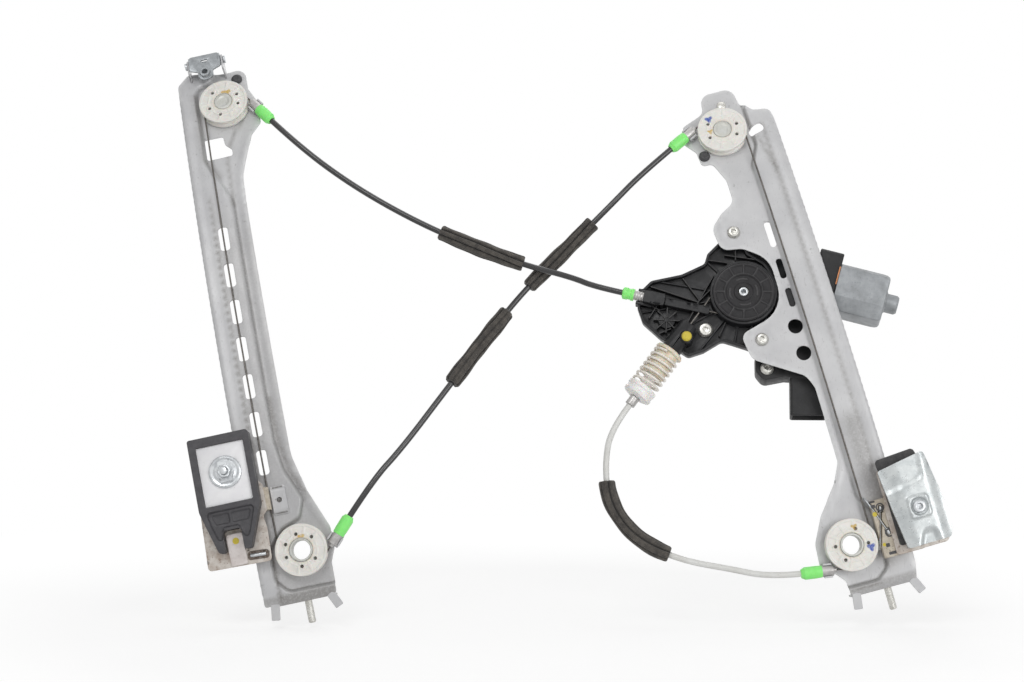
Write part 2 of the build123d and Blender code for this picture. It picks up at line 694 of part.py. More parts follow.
with BuildPart() as left_cable:
    add(rail_cable(LEFT, LEFT_TOP, LEFT_LOW, (LEFT_TOP.tangent_angle, 180, LEFT_LOW.tangent_angle + 360)))
keep(left_cable.part, "left_cable")

with BuildPart() as right_cable:
    turns = (RIGHT_TOP.tangent_angle + 360, 0, RIGHT_LOW.tangent_angle - 360)
    add(rail_cable(RIGHT, RIGHT_TOP, RIGHT_LOW, turns))
keep(right_cable.part, "right_cable")


# Left carrier: slider, steel plate and glass clamp, all bent with the rail

LEFT_CLAMP_BOLT = (-46.0, 70.6)
FRAME_BACK = CARRIER_BACK + CARRIER_SHEET
GLASS_BACK = FRAME_BACK + 1.4
GLASS_ROOM = 5.6
CLAMP_PLATE_BACK = GLASS_BACK + GLASS_ROOM
FRAME_FRONT = CLAMP_PLATE_BACK + 4.0


def slider(rail: Rail, edge: float, inward: int, inner: float, outer: float, low: float, high: float) -> Part:
    """Plastic shoe that hooks round a rail's guide edge and its lip."""
    left, right = sorted((inner, outer))
    lip_left, lip_right = sorted((edge - inward * SLIDE_GAP, edge + inward * (SHEET + SLIDE_GAP)))
    far = inner + inward * 2
    strip_left, strip_right = sorted((edge - inward * SLIDE_GAP, far))
    with BuildPart() as shoe:
        add(band(rail, left, right, -LIP_DEPTH - 2.5, CARRIER_BACK, low, high))
        add(band(rail, strip_left, strip_right, -SHEET - SLIDE_GAP, SLIDE_GAP, low - 1, high + 1),
            mode=Mode.SUBTRACT)
        add(band(rail, lip_left, lip_right, -LIP_DEPTH - SLIDE_GAP, 0, low - 1, high + 1),
            mode=Mode.SUBTRACT)
    return shoe.part


with BuildPart() as left_slider:
    add(slider(LEFT, LEFT_GUIDE_EDGE, 1, -30, -45.5, 2, 96))
    add(round_bar(LEFT.face(*LEFT_CLAMP_BOLT), 7, 3.4, 9), mode=Mode.SUBTRACT)
keep(left_slider.part, "left_slider")

LEFT_PLATE = [
    (-75, -2, 3), (-23.5, -3.5, 3), (-22.5, 22, 8), (-24, 32, 4), (-20, 36, 3), (-20, 56, 4),
    (-27, 66, 8), (-27, 97, 4), (-68, 97, 5), (-71, 60, 8), (-73, 44, 6),
]

with BuildPart() as left_carrier_plate:
    add(curved_plate(LEFT, LEFT_PLATE, CARRIER_BACK, FRAME_BACK))
    with BuildSketch(LEFT.face(-33, 2.6, CARRIER_BACK)) as slot:
        SlotOverall(13, 4, rotation=-32)
    extrude(slot.sketch, amount=6, both=True, mode=Mode.SUBTRACT)
    with BuildSketch(LEFT.face(*LEFT_CLAMP_BOLT, CARRIER_BACK)) as bolt_hole:
        Circle(4)
    extrude(bolt_hole.sketch, amount=6, both=True, mode=Mode.SUBTRACT)
keep(left_carrier_plate.part, "left_carrier_plate")

with BuildPart() as left_cable_anchor:
    add(band(LEFT, -24.5, -16.8, 2.4, CARRIER_BACK, 36, 54))
    add(band(LEFT, -24.5, -19.3, 0.4, 2.4, 36, 54))
keep(left_cable_anchor.part, "left_cable_anchor")

LEFT_FRAME = [
    (-62, 9, 4), (-56.8, 9, 2), (-56.8, 26, 3), (-41.4, 26, 3), (-41.4, 9, 2), (-36, 9, 4),
    (-23, 42, 12), (-22.5, 100, 6), (-72, 100, 6), (-72, 43, 12),
]
LEFT_WINDOW_MIDDLE = (-47.0, 69.5)
WINDOW_WIDE = 39.0
WINDOW_TALL = 47.0
LEDGE = 2.2

with BuildPart() as left_clamp_frame:
    add(curved_plate(LEFT, LEFT_FRAME, FRAME_BACK, FRAME_FRONT))
    left_side = LEFT_WINDOW_MIDDLE[0] - WINDOW_WIDE / 2
    right_side = LEFT_WINDOW_MIDDLE[0] + WINDOW_WIDE / 2
    window_low = LEFT_WINDOW_MIDDLE[1] - WINDOW_TALL / 2
    window_high = LEFT_WINDOW_MIDDLE[1] + WINDOW_TALL / 2
    add(band(LEFT, left_side, right_side, CLAMP_PLATE_BACK, 30, window_low, window_high), mode=Mode.SUBTRACT)
    add(band(LEFT, left_side + LEDGE, right_side - LEDGE, GLASS_BACK, CLAMP_PLATE_BACK + 1, window_low, 110),
        mode=Mode.SUBTRACT)
    with BuildSketch(LEFT.face(*LEFT_CLAMP_BOLT, FRAME_BACK)) as bolt_hole:
        Circle(4)
    extrude(bolt_hole.sketch, amount=4, both=True, mode=Mode.SUBTRACT)
keep(left_clamp_frame.part, "left_clamp_frame")

with BuildPart() as left_clamp_plate:
    gap = SEAT_GAP
    add(band(LEFT, left_side + gap, right_side - gap, CLAMP_PLATE_BACK, CLAMP_PLATE_BACK + 2,
             window_low + gap, window_high - gap))
    with BuildSketch(LEFT.face(*LEFT_CLAMP_BOLT, CLAMP_PLATE_BACK)) as bolt_hole:
        Circle(4)
    extrude(bolt_hole.sketch, amount=6, both=True, mode=Mode.SUBTRACT)
keep(left_clamp_plate.part, "left_clamp_plate")

BOLT_RADIUS = 3.0
CLAMP_FRONT = CLAMP_PLATE_BACK + 2
WASHER = 2.5

with BuildPart() as left_clamp_washer:
    add(round_bar(LEFT.face(*LEFT_CLAMP_BOLT, CLAMP_FRONT), 13.2, 0, WASHER))
    add(round_bar(LEFT.face(*LEFT_CLAMP_BOLT, CLAMP_FRONT), BOLT_RADIUS, -1, WASHER + 1), mode=Mode.SUBTRACT)
keep(left_clamp_washer.part, "left_clamp_washer")

with BuildPart() as left_clamp_nut:
    with BuildSketch(LEFT.face(*LEFT_CLAMP_BOLT, CLAMP_FRONT + WASHER)):
        RegularPolygon(5, 6, major_radius=False)
        Circle(BOLT_RADIUS, mode=Mode.SUBTRACT)
    extrude(amount=4.8)
keep(left_clamp_nut.part, "left_clamp_nut")

with BuildPart() as left_clamp_bolt:
    bolt_plane = LEFT.face(*LEFT_CLAMP_BOLT, CARRIER_BACK)
    head = 6.0
    sag = head**2 / (2 * RAIL_RADIUS)
    shank = CLAMP_FRONT + WASHER + 7.5 - CARRIER_BACK
    with BuildSketch(bolt_plane.offset(-sag)) as head_shape:
        RegularPolygon(head - 1, 6)
    extrude(head_shape.sketch, amount=-4)
    add(round_bar(bolt_plane, BOLT_RADIUS, -2, shank))
keep(left_clamp_bolt.part, "left_clamp_bolt")

with BuildPart() as left_tongue:
    tongue = [(-55.8, -2, 2), (-42.4, -2, 2), (-42.4, 23, 6), (-55.8, 23, 6)]
    add(curved_plate(LEFT, tongue, FRAME_BACK, FRAME_BACK + 3))
keep(left_tongue.part, "left_tongue")


# Right carrier: slider, steel plate, rubber pad and a zinc cover pulled in by one bolt

RIGHT_CLAMP_BOLT = (57.0, 15.3)
PAD_THICKNESS = 1.6
PAD_FRONT = FRAME_BACK + PAD_THICKNESS
COVER_START = PAD_FRONT + 6.0
COVER_END = COVER_START + 6.0
TAILS = [((19.9, 33.0), (30.6, 3.0), 5.7), ((20.8, -9.5), (29.8, 21.5), 4.0)]
NIPPLE_RADIUS = 2.1
NIPPLE_LENGTH = 5.0
TAIL_START_PROUD = 1.6

RIGHT_MIDDLE = 6.0


def tail_plane(tail: tuple) -> Plane:
    """Plane whose X runs down one cable tail, on the slider's face."""
    (x0, z0), (x1, z1), level = tail
    turn = degrees(atan2(z1 - z0, x1 - x0))
    plane = RIGHT.face(0, RIGHT_MIDDLE, level)
    end = plane.from_local_coords(Vector(x1, z1 - RIGHT_MIDDLE, 0))
    return spun(Plane(origin=end, x_dir=plane.x_dir, z_dir=plane.z_dir), turn)


with BuildPart() as right_slider:
    add(slider(RIGHT, RIGHT_GUIDE_EDGE, -1, 26, 54, -17, 29))
    add(band(RIGHT, 22.3, 26.5, SLIDE_GAP, CARRIER_BACK, -17, 29))
    for tail in TAILS:
        with BuildSketch(tail_plane(tail).offset(-1)) as groove:
            with Locations((-16, 0)):
                Rectangle(34, 2)
        extrude(groove.sketch, amount=8, mode=Mode.SUBTRACT)
        with BuildSketch(tail_plane(tail).offset(-NIPPLE_RADIUS - 0.1)) as pocket:
            Rectangle(NIPPLE_LENGTH + 0.4, 2 * NIPPLE_RADIUS + 0.2)
        extrude(pocket.sketch, amount=9, mode=Mode.SUBTRACT)
    add(round_bar(RIGHT.face(*RIGHT_CLAMP_BOLT), 7, 0.9, 9), mode=Mode.SUBTRACT)
keep(right_slider.part, "right_slider")

with BuildPart() as right_cable_tails:
    for tail in TAILS:
        plane = tail_plane(tail)
        (x0, z0), (x1, z1), level = tail
        length = hypot(x1 - x0, z1 - z0)
        drop = level - TAIL_START_PROUD
        with BuildLine() as path:
            FilletPolyline(plane.from_local_coords(Vector(-length, 0, -drop)),
                           plane.from_local_coords(Vector(-length + 4.5, 0, 0)), plane.origin, radius=2)
        add(tube(path.wire(), CABLE_RADIUS))
        nipple = Plane(origin=plane.origin, z_dir=plane.x_dir)
        add(round_bar(nipple, NIPPLE_RADIUS, -NIPPLE_LENGTH / 2, NIPPLE_LENGTH / 2))
keep(right_cable_tails.part, "right_cable_tails")

RIGHT_PLATE = [
    (32, -16, 3), (75, -15, 4), (79, 3, 10), (79, 28, 10), (72, 58, 5), (34, 52, 4), (34, 28, 3), (32, 20, 3),
]
RIGHT_PAD = [(36, -9, 2), (74, -9, 4), (77.5, 3, 10), (77.5, 28, 10), (67, 62.5, 3), (35, 60, 3), (36, 44, 8)]
RIGHT_COVER = [
    (40, -14, 4), (76, -13, 5), (80, 3, 12), (80, 28, 14), (73, 56, 6), (33.5, 49, 5), (36, 20, 20),
]
FULCRUM = [(41, -14, 1), (75, -13, 1), (75.5, -10.5, 1), (41, -11.5, 1)]

with BuildPart() as right_carrier_plate:
    add(curved_plate(RIGHT, RIGHT_PLATE, CARRIER_BACK, FRAME_BACK))
    with BuildSketch(RIGHT.face(*RIGHT_CLAMP_BOLT, CARRIER_BACK)) as bolt_hole:
        Circle(3.4)
    extrude(bolt_hole.sketch, amount=6, both=True, mode=Mode.SUBTRACT)
keep(right_carrier_plate.part, "right_carrier_plate")

with BuildPart() as right_clamp_pad:
    add(curved_plate(RIGHT, RIGHT_PAD, FRAME_BACK, PAD_FRONT))
    with BuildSketch(RIGHT.face(*RIGHT_CLAMP_BOLT, FRAME_BACK)) as bolt_hole:
        Circle(5)
    extrude(bolt_hole.sketch, amount=6, both=True, mode=Mode.SUBTRACT)
keep(right_clamp_pad.part, "right_clamp_pad")

with BuildPart() as right_clamp_cover:
    add(curved_plate(RIGHT, RIGHT_COVER, COVER_START, COVER_END))
    add(curved_plate(RIGHT, FULCRUM, FRAME_BACK, COVER_START + 0.5))
    with BuildSketch(RIGHT.face(*RIGHT_CLAMP_BOLT, COVER_END - 0.5)) as emboss:
        RectangleRounded(17, 17, 2.5)
    extrude(emboss.sketch, amount=1.9)
    with BuildSketch(RIGHT.face(*RIGHT_CLAMP_BOLT, COVER_START - 3)) as bolt_hole:
        Circle(3.4)
    extrude(bolt_hole.sketch, amount=16, mode=Mode.SUBTRACT)
    with BuildSketch(RIGHT.face(*RIGHT_CLAMP_BOLT, COVER_END - 1.6)) as counterbore:
        Circle(5.6)
    extrude(counterbore.sketch, amount=6, mode=Mode.SUBTRACT)
keep(right_clamp_cover.part, "right_clamp_cover")

with BuildPart() as right_clamp_bolt:
    bolt_plane = RIGHT.face(*RIGHT_CLAMP_BOLT)
    head_base = COVER_END - 1.6
    back = CARRIER_BACK - 6**2 / (2 * RAIL_RADIUS)
    add(turned(bolt_plane, [
        (0, 1.5), (BOLT_RADIUS, 1.5), (BOLT_RADIUS, head_base), (5.2, head_base), (5.2, head_base + 3.4),
        (4.2, head_base + 4.2), (0, head_base + 4.2)]))
    with BuildSketch(bolt_plane.offset(head_base + 4.2)) as socket:
        RegularPolygon(2.4, 6)
    extrude(socket.sketch, amount=-2.2, mode=Mode.SUBTRACT)
    with BuildSketch(bolt_plane.offset(back)) as nut:
        RegularPolygon(5, 6, major_radius=False)
    extrude(nut.sketch, amount=-4.6)
keep(right_clamp_bolt.part, "right_clamp_bolt")


# Drive: drum housing, cable drum and its cover

DRIVE = spun(RIGHT.face(DRIVE_ACROSS, DRIVE_HEIGHT), MOTOR_TURN)


@dataclass(frozen=True)
class DrumCable:
    """Straight cable between the drum and a conduit, given by its heading towards the drum."""

    heading: float
    side: int

    def at(self, distance: float) -> Vector:
        turn = radians(self.heading)
        x = DRUM_PITCH_RADIUS * sin(turn) * self.side - distance * cos(turn)
        y = -DRUM_PITCH_RADIUS * cos(turn) * self.side - distance * sin(turn)
        return DRIVE.from_local_coords(Vector(x, y, CABLE_LEVEL))

    def plane(self, distance: float) -> Plane:
        """Plane square to the cable, its normal away from the drum and X out of the drive."""
        away = self.at(distance + 1) - self.at(distance)
        return Plane(origin=self.at(distance), x_dir=DRIVE.z_dir, z_dir=away)


UPPER_CABLE = DrumCable(2.4, 1)
LOWER_CABLE = DrumCable(69.6, -1)
UPPER_SEAT = 72.0
UPPER_CONDUIT = 92.0
SOCKET_START = 48.0
SOCKET_END = 78.0
SOCKET_RADIUS = 8.5
SOCKET_BORE = 5.2
SLEEVE_START = 75.0
SLEEVE_END = 101.0
SLEEVE_OUTER = 9.6
SLEEVE_COLLAR = 12.2
SPRING_START = 78.4
CAP_START = 113.0
CAP_END = 124.0
CAP_RADIUS = 12.6
SPRING_WIRE = 1.1
SPRING_RADIUS = 11.2
LOWER_CONDUIT = 132.0
THIRD_SCREW = (-22.5, -36.6)
HOUSING_PIN = (-35.0, -50.3)
STAR_BOSS = (-55.3, -37.9)
PIN_BOSS_TOP = 2.0

HOUSING_OUTLINE = [
    (-83, -19, 3), (-77, -8, 6), (-54, 4, 12), (-38, 18, 5), (-38, 27, 4), (-30, 42, 5), (-21, 56, 8),
    (-11, 48, 6), (-6, 37, 5), (10, 32, 14), (24, 20, 12), (30, 4, 8), (30, -20, 8), (34, -36, 8),
    (25, -45, 8), (12, -44, 6), (-7, -43, 6), (-19, -56, 6), (-30, -63.5, 5), (-56, -54.5, 4),
    (-74, -45, 7), (-82, -33, 5),
]
RIBS = [35, 75, 115, 150, 185, 205, 225, 248, 275, 305, 335]


def lug_plane(lug: tuple) -> Plane:
    """Back face of the rail at a housing screw."""
    return RIGHT.face(*lug, -TRAY_DEPTH - SHEET)




def cut_round(plane: Plane, radius: float, start: float, end: float) -> None:
    """Round hole in the piece being built, between two levels of a plane."""
    add(round_bar(plane, radius, start, end), mode=Mode.SUBTRACT)


HOUSING = DRIVE.offset(HOUSING_BACK)
HOUSING_BODY = outline(HOUSING, HOUSING_OUTLINE)

with BuildPart() as housing_ribs:
    with BuildSketch(HOUSING) as rib_lines:
        for angle in RIBS:
            with Locations(Location((0, 0, 0), (0, 0, angle))):
                with Locations((45, 0)):
                    Rectangle(90, 1.6)
    extrude(rib_lines.sketch, amount=5.5)
    extrude(HOUSING_BODY, amount=20, dir=DRIVE.z_dir, mode=Mode.INTERSECT)

with BuildPart() as drum_housing:
    extrude(HOUSING_BODY, amount=HOUSING_FRONT - 0.8 - HOUSING_BACK, dir=DRIVE.z_dir)
    with BuildSketch(HOUSING.offset(HOUSING_FLOOR)) as hollow:
        add(HOUSING.to_local_coords(HOUSING_BODY))
        offset(amount=-HOUSING_WALL, kind=Kind.INTERSECTION)
    extrude(hollow.sketch, amount=20, mode=Mode.SUBTRACT)
    add(housing_ribs.part)
    with BuildSketch(HOUSING) as ring:
        Circle(DRUM_WALL_RADIUS)
    extrude(ring.sketch, amount=COVER_BACK - HOUSING_BACK)
    with BuildSketch(HOUSING) as star_boss:
        with Locations(STAR_BOSS):
            Circle(7)
    extrude(star_boss.sketch, amount=7.5)
    with BuildSketch(HOUSING) as pin_boss:
        with Locations(HOUSING_PIN):
            Circle(5.2)
    extrude(pin_boss.sketch, amount=PIN_BOSS_TOP - HOUSING_BACK)
    for lug in (UPPER_LUG, LOWER_LUG):
        add(round_bar(lug_plane(lug), 7.5, -7.5, -0.06))
    add(round_bar(LOWER_CABLE.plane(0), SOCKET_RADIUS, SOCKET_START, SOCKET_END))
    with BuildSketch(UPPER_CABLE.plane(UPPER_SEAT)) as cradle:
        with Locations((-4.6, 0)):
            Rectangle(8.2, 14)
    extrude(cradle.sketch, amount=13.5)
    cut_round(DRIVE, DRUM_WELL_RADIUS, HOUSING_BACK + HOUSING_FLOOR, 5)
    cut_round(DRIVE, SHAFT_RADIUS + RUNNING_GAP, -30, 5)
    cut_round(UPPER_CABLE.plane(0), 1.6, 8, 100)
    cut_round(UPPER_CABLE.plane(0), FERRULE_RADIUS, UPPER_SEAT + 2, 100)
    cut_round(LOWER_CABLE.plane(0), 1.6, 8, 70)
    cut_round(LOWER_CABLE.plane(0), SOCKET_BORE, SOCKET_START + 6, 100)
    for lug in (UPPER_LUG, LOWER_LUG):
        cut_round(lug_plane(lug), SCREW_RADIUS, -9, 5)
    with BuildSketch(HOUSING.offset(HOUSING_FLOOR)) as head_room:
        with Locations(THIRD_SCREW):
            Circle(6.8)
    extrude(head_room.sketch, amount=20, mode=Mode.SUBTRACT)
    with BuildSketch(HOUSING) as screw_hole:
        with Locations(THIRD_SCREW):
            Circle(SCREW_RADIUS)
    extrude(screw_hole.sketch, amount=20, mode=Mode.SUBTRACT)
    with BuildSketch(DRIVE.offset(PIN_BOSS_TOP)) as pin_hole:
        with Locations(HOUSING_PIN):
            Circle(2.6)
    extrude(pin_hole.sketch, amount=-2.3, mode=Mode.SUBTRACT)
keep(drum_housing.part, "drum_housing")

with BuildPart() as housing_pin:
    pin_base = DRIVE.from_local_coords(Vector(*HOUSING_PIN, PIN_BOSS_TOP))
    add(turned(Plane(origin=pin_base, x_dir=DRIVE.x_dir, z_dir=DRIVE.z_dir), [
        (0, -2.2), (2.6, -2.2), (2.6, 0), (4.2, 0), (4.2, 1.8), (3, 3), (0, 3)]))
keep(housing_pin.part, "housing_pin")

with BuildPart() as drum_cover:
    add(turned(DRIVE, [
        (SHAFT_RADIUS + 0.5, COVER_BACK), (25.6, COVER_BACK), (25.6, 0.6),
        (24.6, COVER_BACK + COVER_THICKNESS),
        (16, COVER_BACK + COVER_THICKNESS), (14.5, COVER_BACK + COVER_THICKNESS - 0.9),
        (8.5, COVER_BACK + COVER_THICKNESS - 0.9), (7.5, COVER_BACK + COVER_THICKNESS),
        (SHAFT_RADIUS + 0.5, COVER_BACK + COVER_THICKNESS)]))
keep(drum_cover.part, "drum_cover")

DRUM_BACK = DRUM_TOP - DRUM_WIDTH
DRUM_ROOT = DRUM_PITCH_RADIUS - CABLE_RADIUS - 0.05
WINDING_PITCH = 1.6
WINDING_TURNS = 4

with BuildPart() as cable_drum:
    add(turned(DRIVE, [
        (SHAFT_RADIUS, DRUM_BACK), (DRUM_FLANGE_RADIUS, DRUM_BACK), (DRUM_FLANGE_RADIUS, DRUM_BACK + 1.1),
        (DRUM_ROOT, DRUM_BACK + 1.3), (DRUM_ROOT, DRUM_TOP - 1.3), (DRUM_FLANGE_RADIUS, DRUM_TOP - 1.1),
        (DRUM_FLANGE_RADIUS, DRUM_TOP), (SHAFT_RADIUS, DRUM_TOP)]))
    with BuildSketch(DRIVE.offset(DRUM_TOP)) as pockets:
        with PolarLocations(12, 6):
            Circle(4)
    extrude(pockets.sketch, amount=-DRUM_WIDTH + 2, mode=Mode.SUBTRACT)
keep(cable_drum.part, "cable_drum")

with BuildPart() as coil:
    height = WINDING_PITCH * WINDING_TURNS
    with BuildLine() as path:
        Helix(WINDING_PITCH, height, DRUM_PITCH_RADIUS)
    with BuildSketch(Plane(origin=path.line @ 0, x_dir=(1, 0, 0), z_dir=path.line % 0)) as wire:
        Circle(CABLE_RADIUS)
    sweep(wire.sketch, path=path.line, is_frenet=True)
with BuildPart() as drum_winding:
    with Locations(DRIVE.offset(CABLE_LEVEL - height / 2).location):
        add(coil.part)
keep(drum_winding.part, "drum_winding")

WHEEL_TOP = WORM_LEVEL + WHEEL_WIDTH / 2
SHAFT_END = -40.5

with BuildPart() as drum_shaft:
    add(round_bar(DRIVE, SHAFT_RADIUS, SHAFT_END, 1.3))
    cut_round(DRIVE, 2.0, -5, 3)
keep(drum_shaft.part, "drum_shaft")

with BuildPart() as worm_wheel:
    wheel_plane = DRIVE.offset(WORM_LEVEL - WHEEL_WIDTH / 2)
    tooth = 360 / WHEEL_TEETH
    with BuildSketch(wheel_plane) as blank:
        Circle(WHEEL_PITCH_RADIUS - 1.4)
        with PolarLocations(WHEEL_PITCH_RADIUS, WHEEL_TEETH, start_angle=90 + tooth / 2):
            Polygon((-1.6, -0.95), (1, -0.28), (1, 0.28), (-1.6, 0.95), align=None)
    extrude(blank.sketch, amount=WHEEL_WIDTH)
    add(round_bar(DRIVE, 8, WORM_LEVEL - 6, WORM_LEVEL + 6))
    with BuildSketch(DRIVE.offset(WORM_LEVEL)) as lightening:
        with PolarLocations(16, 6):
            Circle(4.5)
    extrude(lightening.sketch, amount=10, both=True, mode=Mode.SUBTRACT)
    cut_round(DRIVE, SHAFT_RADIUS, -50, 0)
keep(worm_wheel.part, "worm_wheel")


# Gear housing behind the drum housing

WORM = Plane(origin=DRIVE.from_local_coords(Vector(0, WORM_OFFSET, WORM_LEVEL)),
             x_dir=-DRIVE.y_dir, z_dir=DRIVE.x_dir)
TUNNEL_START = -22.0
TUNNEL_END = 52.0
TUNNEL_HALF = 12.0
GEARCASE_FLOOR = 3.0
BEARING_DEPTH = 4.0


def gearcase_outline(plane: Plane, radius: float, wall: float) -> Sketch:
    """Round wheel case joined to the straight worm tunnel."""
    start = TUNNEL_START + wall
    half = TUNNEL_HALF - wall
    with BuildSketch(plane) as shape:
        Circle(radius)
        with Locations(((start + TUNNEL_END) / 2, WORM_OFFSET)):
            Rectangle(TUNNEL_END - start, 2 * half)
    return shape.sketch


with BuildPart() as gear_housing:
    front = DRIVE.offset(HOUSING_BACK)
    case_shape = gearcase_outline(front, GEARCASE_RADIUS, 0)
    extrude(case_shape, amount=GEARCASE_BACK - HOUSING_BACK, dir=DRIVE.z_dir)
    with BuildSketch(spun(front, degrees(atan2(THIRD_SCREW[1], THIRD_SCREW[0])))) as screw_arm:
        with Locations((36, 0)):
            Rectangle(13, 9)
        with Locations((hypot(*THIRD_SCREW), 0)):
            Circle(6)
    extrude(screw_arm.sketch, amount=-14)
    with BuildSketch(front.offset(-GEARCASE_FLOOR)) as well:
        Circle(GEARCASE_RADIUS - GEARCASE_WALL)
    extrude(well.sketch, amount=-60, mode=Mode.SUBTRACT)
    with BuildSketch(WORM) as channel:
        Rectangle(17, 17)
    extrude(channel.sketch, amount=TUNNEL_END, mode=Mode.SUBTRACT)
    extrude(channel.sketch, amount=TUNNEL_START + BEARING_DEPTH + 1, mode=Mode.SUBTRACT)
    add(round_bar(DRIVE, 7, -22, HOUSING_BACK))
    cut_round(DRIVE, SHAFT_RADIUS + RUNNING_GAP, -30, 5)
    cut_round(WORM, MOTOR_SHAFT_RADIUS + RUNNING_GAP, TUNNEL_START + 1, 0)
    with BuildSketch(front) as screw_hole:
        with Locations(THIRD_SCREW):
            Circle(SCREW_RADIUS)
    extrude(screw_hole.sketch, amount=-10, mode=Mode.SUBTRACT)
keep(gear_housing.part, "gear_housing")

with BuildPart() as gear_lid:
    lid_plane = DRIVE.offset(GEARCASE_BACK)
    extrude(gearcase_outline(lid_plane, GEARCASE_RADIUS, 0), amount=-LID_THICKNESS, dir=DRIVE.z_dir)
    add(round_bar(DRIVE, 8, GEARCASE_BACK - 1, -37))
    with BuildSketch(lid_plane.offset(-LID_THICKNESS)) as lid_ribs:
        with PolarLocations(19, 8, start_angle=200, angular_range=160):
            Rectangle(22, 1.4)
    extrude(lid_ribs.sketch, amount=-1.2)
    cut_round(DRIVE, SHAFT_RADIUS + RUNNING_GAP, SHAFT_END - 0.5, 0)
keep(gear_lid.part, "gear_lid")

WORM_PITCH = pi * WHEEL_MODULE
WORM_CORE = 3.2
WORM_OUTER = 5.4
THREAD_ROOT = 2.0
THREAD_TIP = 0.6

with BuildPart() as thread:
    reach = 6 * WORM_PITCH
    with BuildLine() as path:
        Helix(WORM_PITCH, reach, WORM_CORE)
    with BuildSketch(Plane(origin=path.line @ 0, x_dir=(1, 0, 0), z_dir=path.line % 0)) as profile:
        with BuildLine():
            Polyline((-0.4, -THREAD_ROOT / 2), (WORM_OUTER - WORM_CORE, -THREAD_TIP / 2),
                     (WORM_OUTER - WORM_CORE, THREAD_TIP / 2), (-0.4, THREAD_ROOT / 2), close=True)
        make_face()
    sweep(profile.sketch, path=path.line, is_frenet=True)
    with Locations((0, 0, -1.5)):
        Cylinder(WORM_CORE, reach + 3, align=(Align.CENTER, Align.CENTER, Align.MIN))
with BuildPart() as worm_shaft:
    with Locations(WORM.offset(-3 * WORM_PITCH).location):
        add(thread.part)
    add(round_bar(WORM, MOTOR_SHAFT_RADIUS, TUNNEL_START + 2, 120))
keep(worm_shaft.part, "worm_shaft")


# Motor: armature, magnets, can and black end parts

COMMUTATOR_RADIUS = 6.5
CORE_RADIUS = 11.5
CAN_INNER_ROUND = 10.0

with BuildPart() as commutator:
    add(round_bar(WORM, COMMUTATOR_RADIUS, 58, 68))
    with BuildSketch(WORM.offset(58)) as gaps:
        with PolarLocations(COMMUTATOR_RADIUS, 10):
            Rectangle(1.6, 0.5)
    extrude(gaps.sketch, amount=10, mode=Mode.SUBTRACT)
    cut_round(WORM, MOTOR_SHAFT_RADIUS, 50, 80)
keep(commutator.part, "commutator")

with BuildPart() as armature_core:
    with BuildSketch(WORM.offset(80)) as lamination:
        Circle(CORE_RADIUS)
        Circle(MOTOR_SHAFT_RADIUS, mode=Mode.SUBTRACT)
        with PolarLocations(7.8, 10, start_angle=18):
            Circle(1.7, mode=Mode.SUBTRACT)
        with PolarLocations(10.5, 10, start_angle=18):
            Rectangle(4, 1, mode=Mode.SUBTRACT)
    extrude(lamination.sketch, amount=24)
keep(armature_core.part, "armature_core")


def can_section(plane: Plane, wall: float) -> Sketch:
    with BuildSketch(plane) as shape:
        RectangleRounded(CAN_HEIGHT - 2 * wall, CAN_THICKNESS - 2 * wall, 12 - wall)
    return shape.sketch


with BuildPart() as motor_can:
    extrude(can_section(WORM.offset(CAN_START), 0), amount=CAN_END - CAN_START)
    extrude(can_section(WORM.offset(CAN_START), CAN_WALL), amount=CAN_END - CAN_START - CAN_WALL,
            mode=Mode.SUBTRACT)
    add(round_bar(WORM, BOSS_RADIUS, CAN_END - 1, BOSS_END))
    cut_round(WORM, MOTOR_SHAFT_RADIUS + RUNNING_GAP, 100, 121)
keep(motor_can.part, "motor_can")

with BuildPart() as magnets:
    extrude(can_section(WORM.offset(78), CAN_WALL), amount=28)
    cut_round(WORM, CORE_RADIUS + 0.9, 70, 120)
    with BuildSketch(WORM.offset(78)) as apart:
        Rectangle(20, 40)
        with Locations((0, 14.5), (0, -14.5)):
            Rectangle(60, 8)
    extrude(apart.sketch, amount=28, mode=Mode.SUBTRACT)
keep(magnets.part, "magnets")

with BuildPart() as brush_housing:
    with BuildSketch(WORM.offset(TUNNEL_END)) as block:
        with Locations((-4.5, 0.5)):
            RectangleRounded(50, 30, 5)
    extrude(block.sketch, amount=CAN_START - TUNNEL_END)
    with BuildSketch(WORM.offset(TUNNEL_END + 3)) as room:
        Rectangle(28, 18)
    extrude(room.sketch, amount=30, mode=Mode.SUBTRACT)
    cut_round(WORM, MOTOR_SHAFT_RADIUS + RUNNING_GAP, 40, 80)
keep(brush_housing.part, "brush_housing")

with BuildPart() as brushes:
    with BuildSketch(WORM.offset(60)) as pair:
        with Locations((10.4, 0), (-10.4, 0)):
            Rectangle(7.2, 5)
    extrude(pair.sketch, amount=6)
keep(brushes.part, "brushes")

MODULE_FRONT = -18.0
MODULE_BACK = -38.0
MODULE_OUTLINE = [
    (33.4, 6, 3), (48, 4, 4), (66, -4, 6), (79, -30, 8), (80, -50, 5), (50, -56, 6), (34, -64, 6),
    (26, -58, 6), (22, -44, 5), (30, -26, 4), (33.2, -14, 4),
]
SHROUD_START = (67.0, -44.0)
SHROUD_TURN = 285.0
SHROUD_WIDE = 30.0
SHROUD_DEEP = 17.0
SHROUD_LENGTH = 40.0
SOCKET_DEPTH = 26.0
MODULE_SCREW = (34.5, -53.5)

SHROUD = Plane(
    origin=DRIVE.from_local_coords(Vector(*SHROUD_START, (MODULE_FRONT + MODULE_BACK) / 2)),
    x_dir=DRIVE.x_dir * sin(radians(-SHROUD_TURN)) + DRIVE.y_dir * cos(radians(SHROUD_TURN)),
    z_dir=DRIVE.x_dir * cos(radians(SHROUD_TURN)) + DRIVE.y_dir * sin(radians(SHROUD_TURN)))

